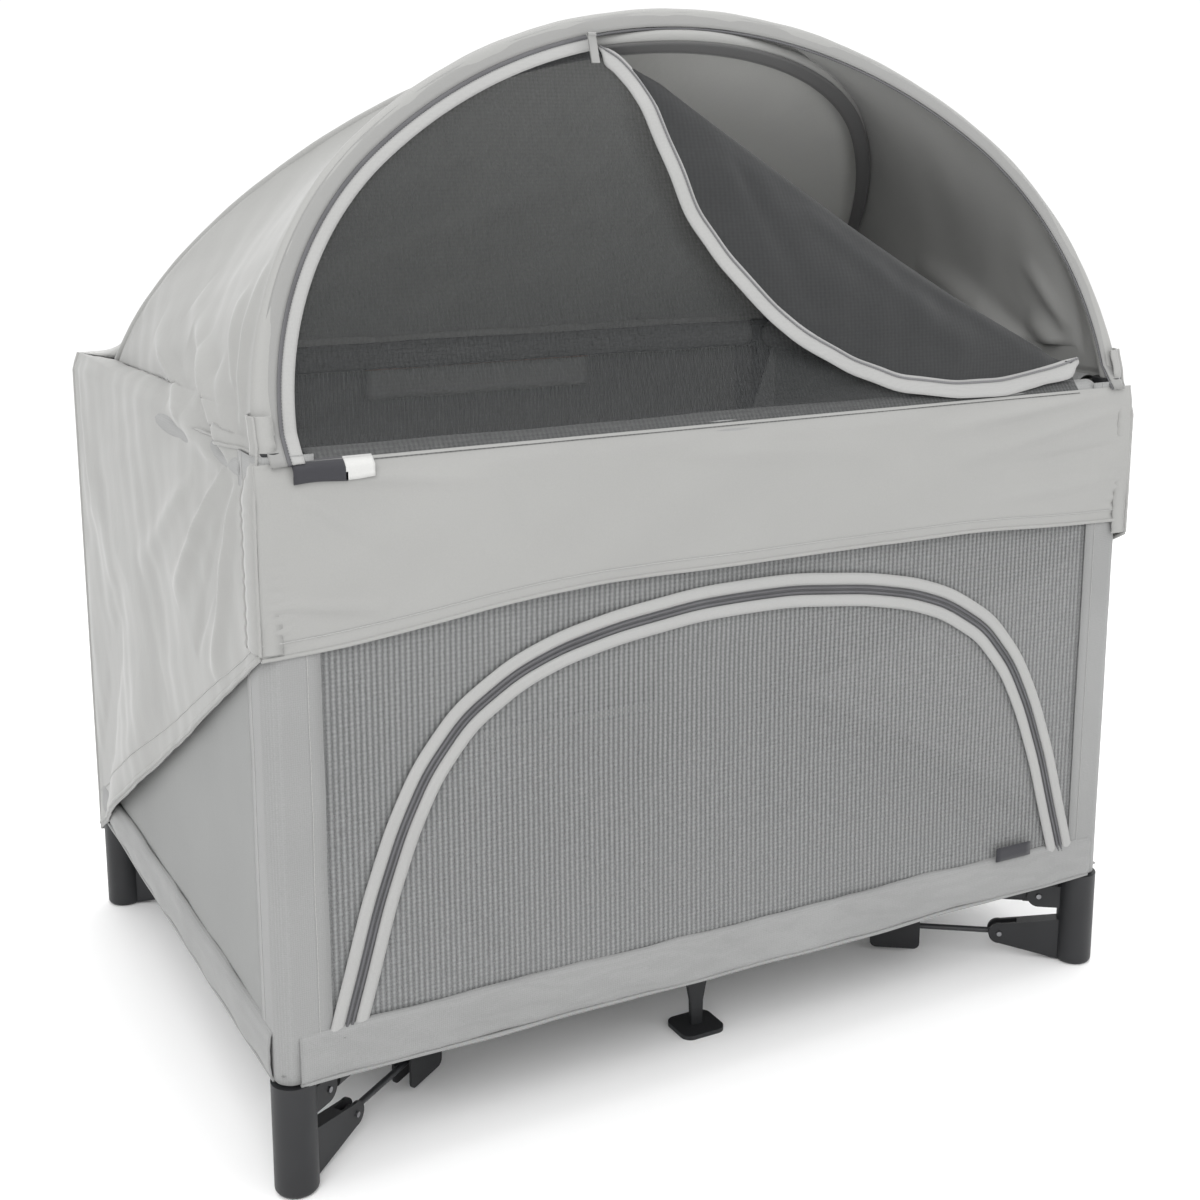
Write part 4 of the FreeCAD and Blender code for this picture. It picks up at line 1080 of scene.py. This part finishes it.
def mattress():
    """Folding mattress: four stuffed panels, with stitched valleys between them."""
    low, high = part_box("mattress")
    shrink = 0.006
    half_x, half_y = high.x - shrink, high.y - shrink
    X, Y = np.meshgrid(np.linspace(-half_x, half_x, 145), np.linspace(-half_y, half_y, 90), indexing="ij")
    step = 2 * half_x / 4
    near = np.abs((X + half_x + step / 2) % step - step / 2)
    valley = np.where(np.abs(X) > half_x - step / 2, 1.0, smooth(near / 0.024))
    crown = smooth((half_x - np.abs(X)) / 0.03) * smooth((half_y - np.abs(Y)) / 0.03)
    tall = high.z - low.z - 0.004
    top = low.z + 0.004 + tall * (0.30 + 0.55 * crown * (0.30 + 0.70 * valley))
    P_top = np.stack([X, Y, top], -1)
    P_low = np.stack([X, Y, low.z + 0.002 + 0.004 * (1 - crown)], -1)
    piece = two_sided("mattress_pad", P_top, P_low)
    inflate(piece, 4.0, 0.004)
    dress(piece, "mattress", PAD, "grey_cloth", "mattress")
    for k in (-1, 0, 1):
        y = np.linspace(-half_y + 0.02, half_y - 0.02, 200)
        z = np.full_like(y, low.z + 0.004 + tall * 0.30 + 0.0045 * 1)
        path = np.stack([np.full_like(y, k * step), y, z], 1)
        wide = np.broadcast_to(np.array([1.0, 0, 0]), path.shape)
        dress(coil(f"mattress_stitch_{k + 1}", path, 0.0011, 0.006, wide), "mattress", PIPING, "grey_cloth")


for corner, sx, sy in CORNERS:
    floor_cloth(corner, sx, sy)
mattress()

# ---- materials of the CAD parts

LOOKS = {
    "foot_": PLASTIC, "cap_": PLASTIC, "hub": PLASTIC, "latch_": PLASTIC, "mid_foot_": PLASTIC,
    "post_": TUBE, "arm_": PLASTIC, "rail_": TUBE, "mid_arm_": TUBE, "rod_": TUBE,
    "leg_pins_": SCREW, "hoop_": POLE, "zip_pull": PULL,
}
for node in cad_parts:
    for start, material in LOOKS.items():
        if node.startswith(start):
            paint(node, material)

# ---- floor, light and camera


def studio():
    floor = made("studio_floor", [(-9, -9, 0), (9, -9, 0), (9, 9, 0), (-9, 9, 0)], [(0, 1, 2, 3)])
    p = Paint("studio_white", (0.955, 0.955, 0.955), 0.8)
    p.color(p.noise(0.6, 2), (0.95, 0.95, 0.95), (0.96, 0.96, 0.96))
    floor.data.materials.append(p.mat)
    world = bpy.data.worlds.new("studio")
    bpy.context.scene.world = world
    world.use_nodes = True
    world.node_tree.nodes["Background"].inputs["Color"].default_value = (1, 1, 1, 1)
    world.node_tree.nodes["Background"].inputs["Strength"].default_value = 1.05
    for name, place, size, power in (
        ("key", (-2.4, -3.2, 3.4), 2.8, 110),
        ("fill", (3.0, -3.0, 2.6), 3.0, 35),
        ("top", (0.3, 0.6, 4.2), 3.0, 70),
    ):
        data = bpy.data.lights.new(name, "AREA")
        data.size, data.energy = size, power
        lamp = bpy.data.objects.new(name, data)
        bpy.context.scene.collection.objects.link(lamp)
        lamp.location = place
        lamp.rotation_euler = (Vector((0, 0, 0.5)) - Vector(place)).to_track_quat("-Z", "Y").to_euler()


def camera():
    data = bpy.data.cameras.new("camera")
    data.sensor_width = 36
    data.lens = 50.97
    data.shift_y = -0.1
    view = bpy.data.objects.new("camera", data)
    bpy.context.scene.collection.objects.link(view)
    view.location = (-0.95018, -1.82373, 1.01268)
    turn, down = 0.49191, 0.2
    view.rotation_euler = (math.pi / 2 - down, 0, -turn)
    bpy.context.scene.camera = view


studio()
camera()
bpy.context.scene.view_settings.view_transform = "Standard"
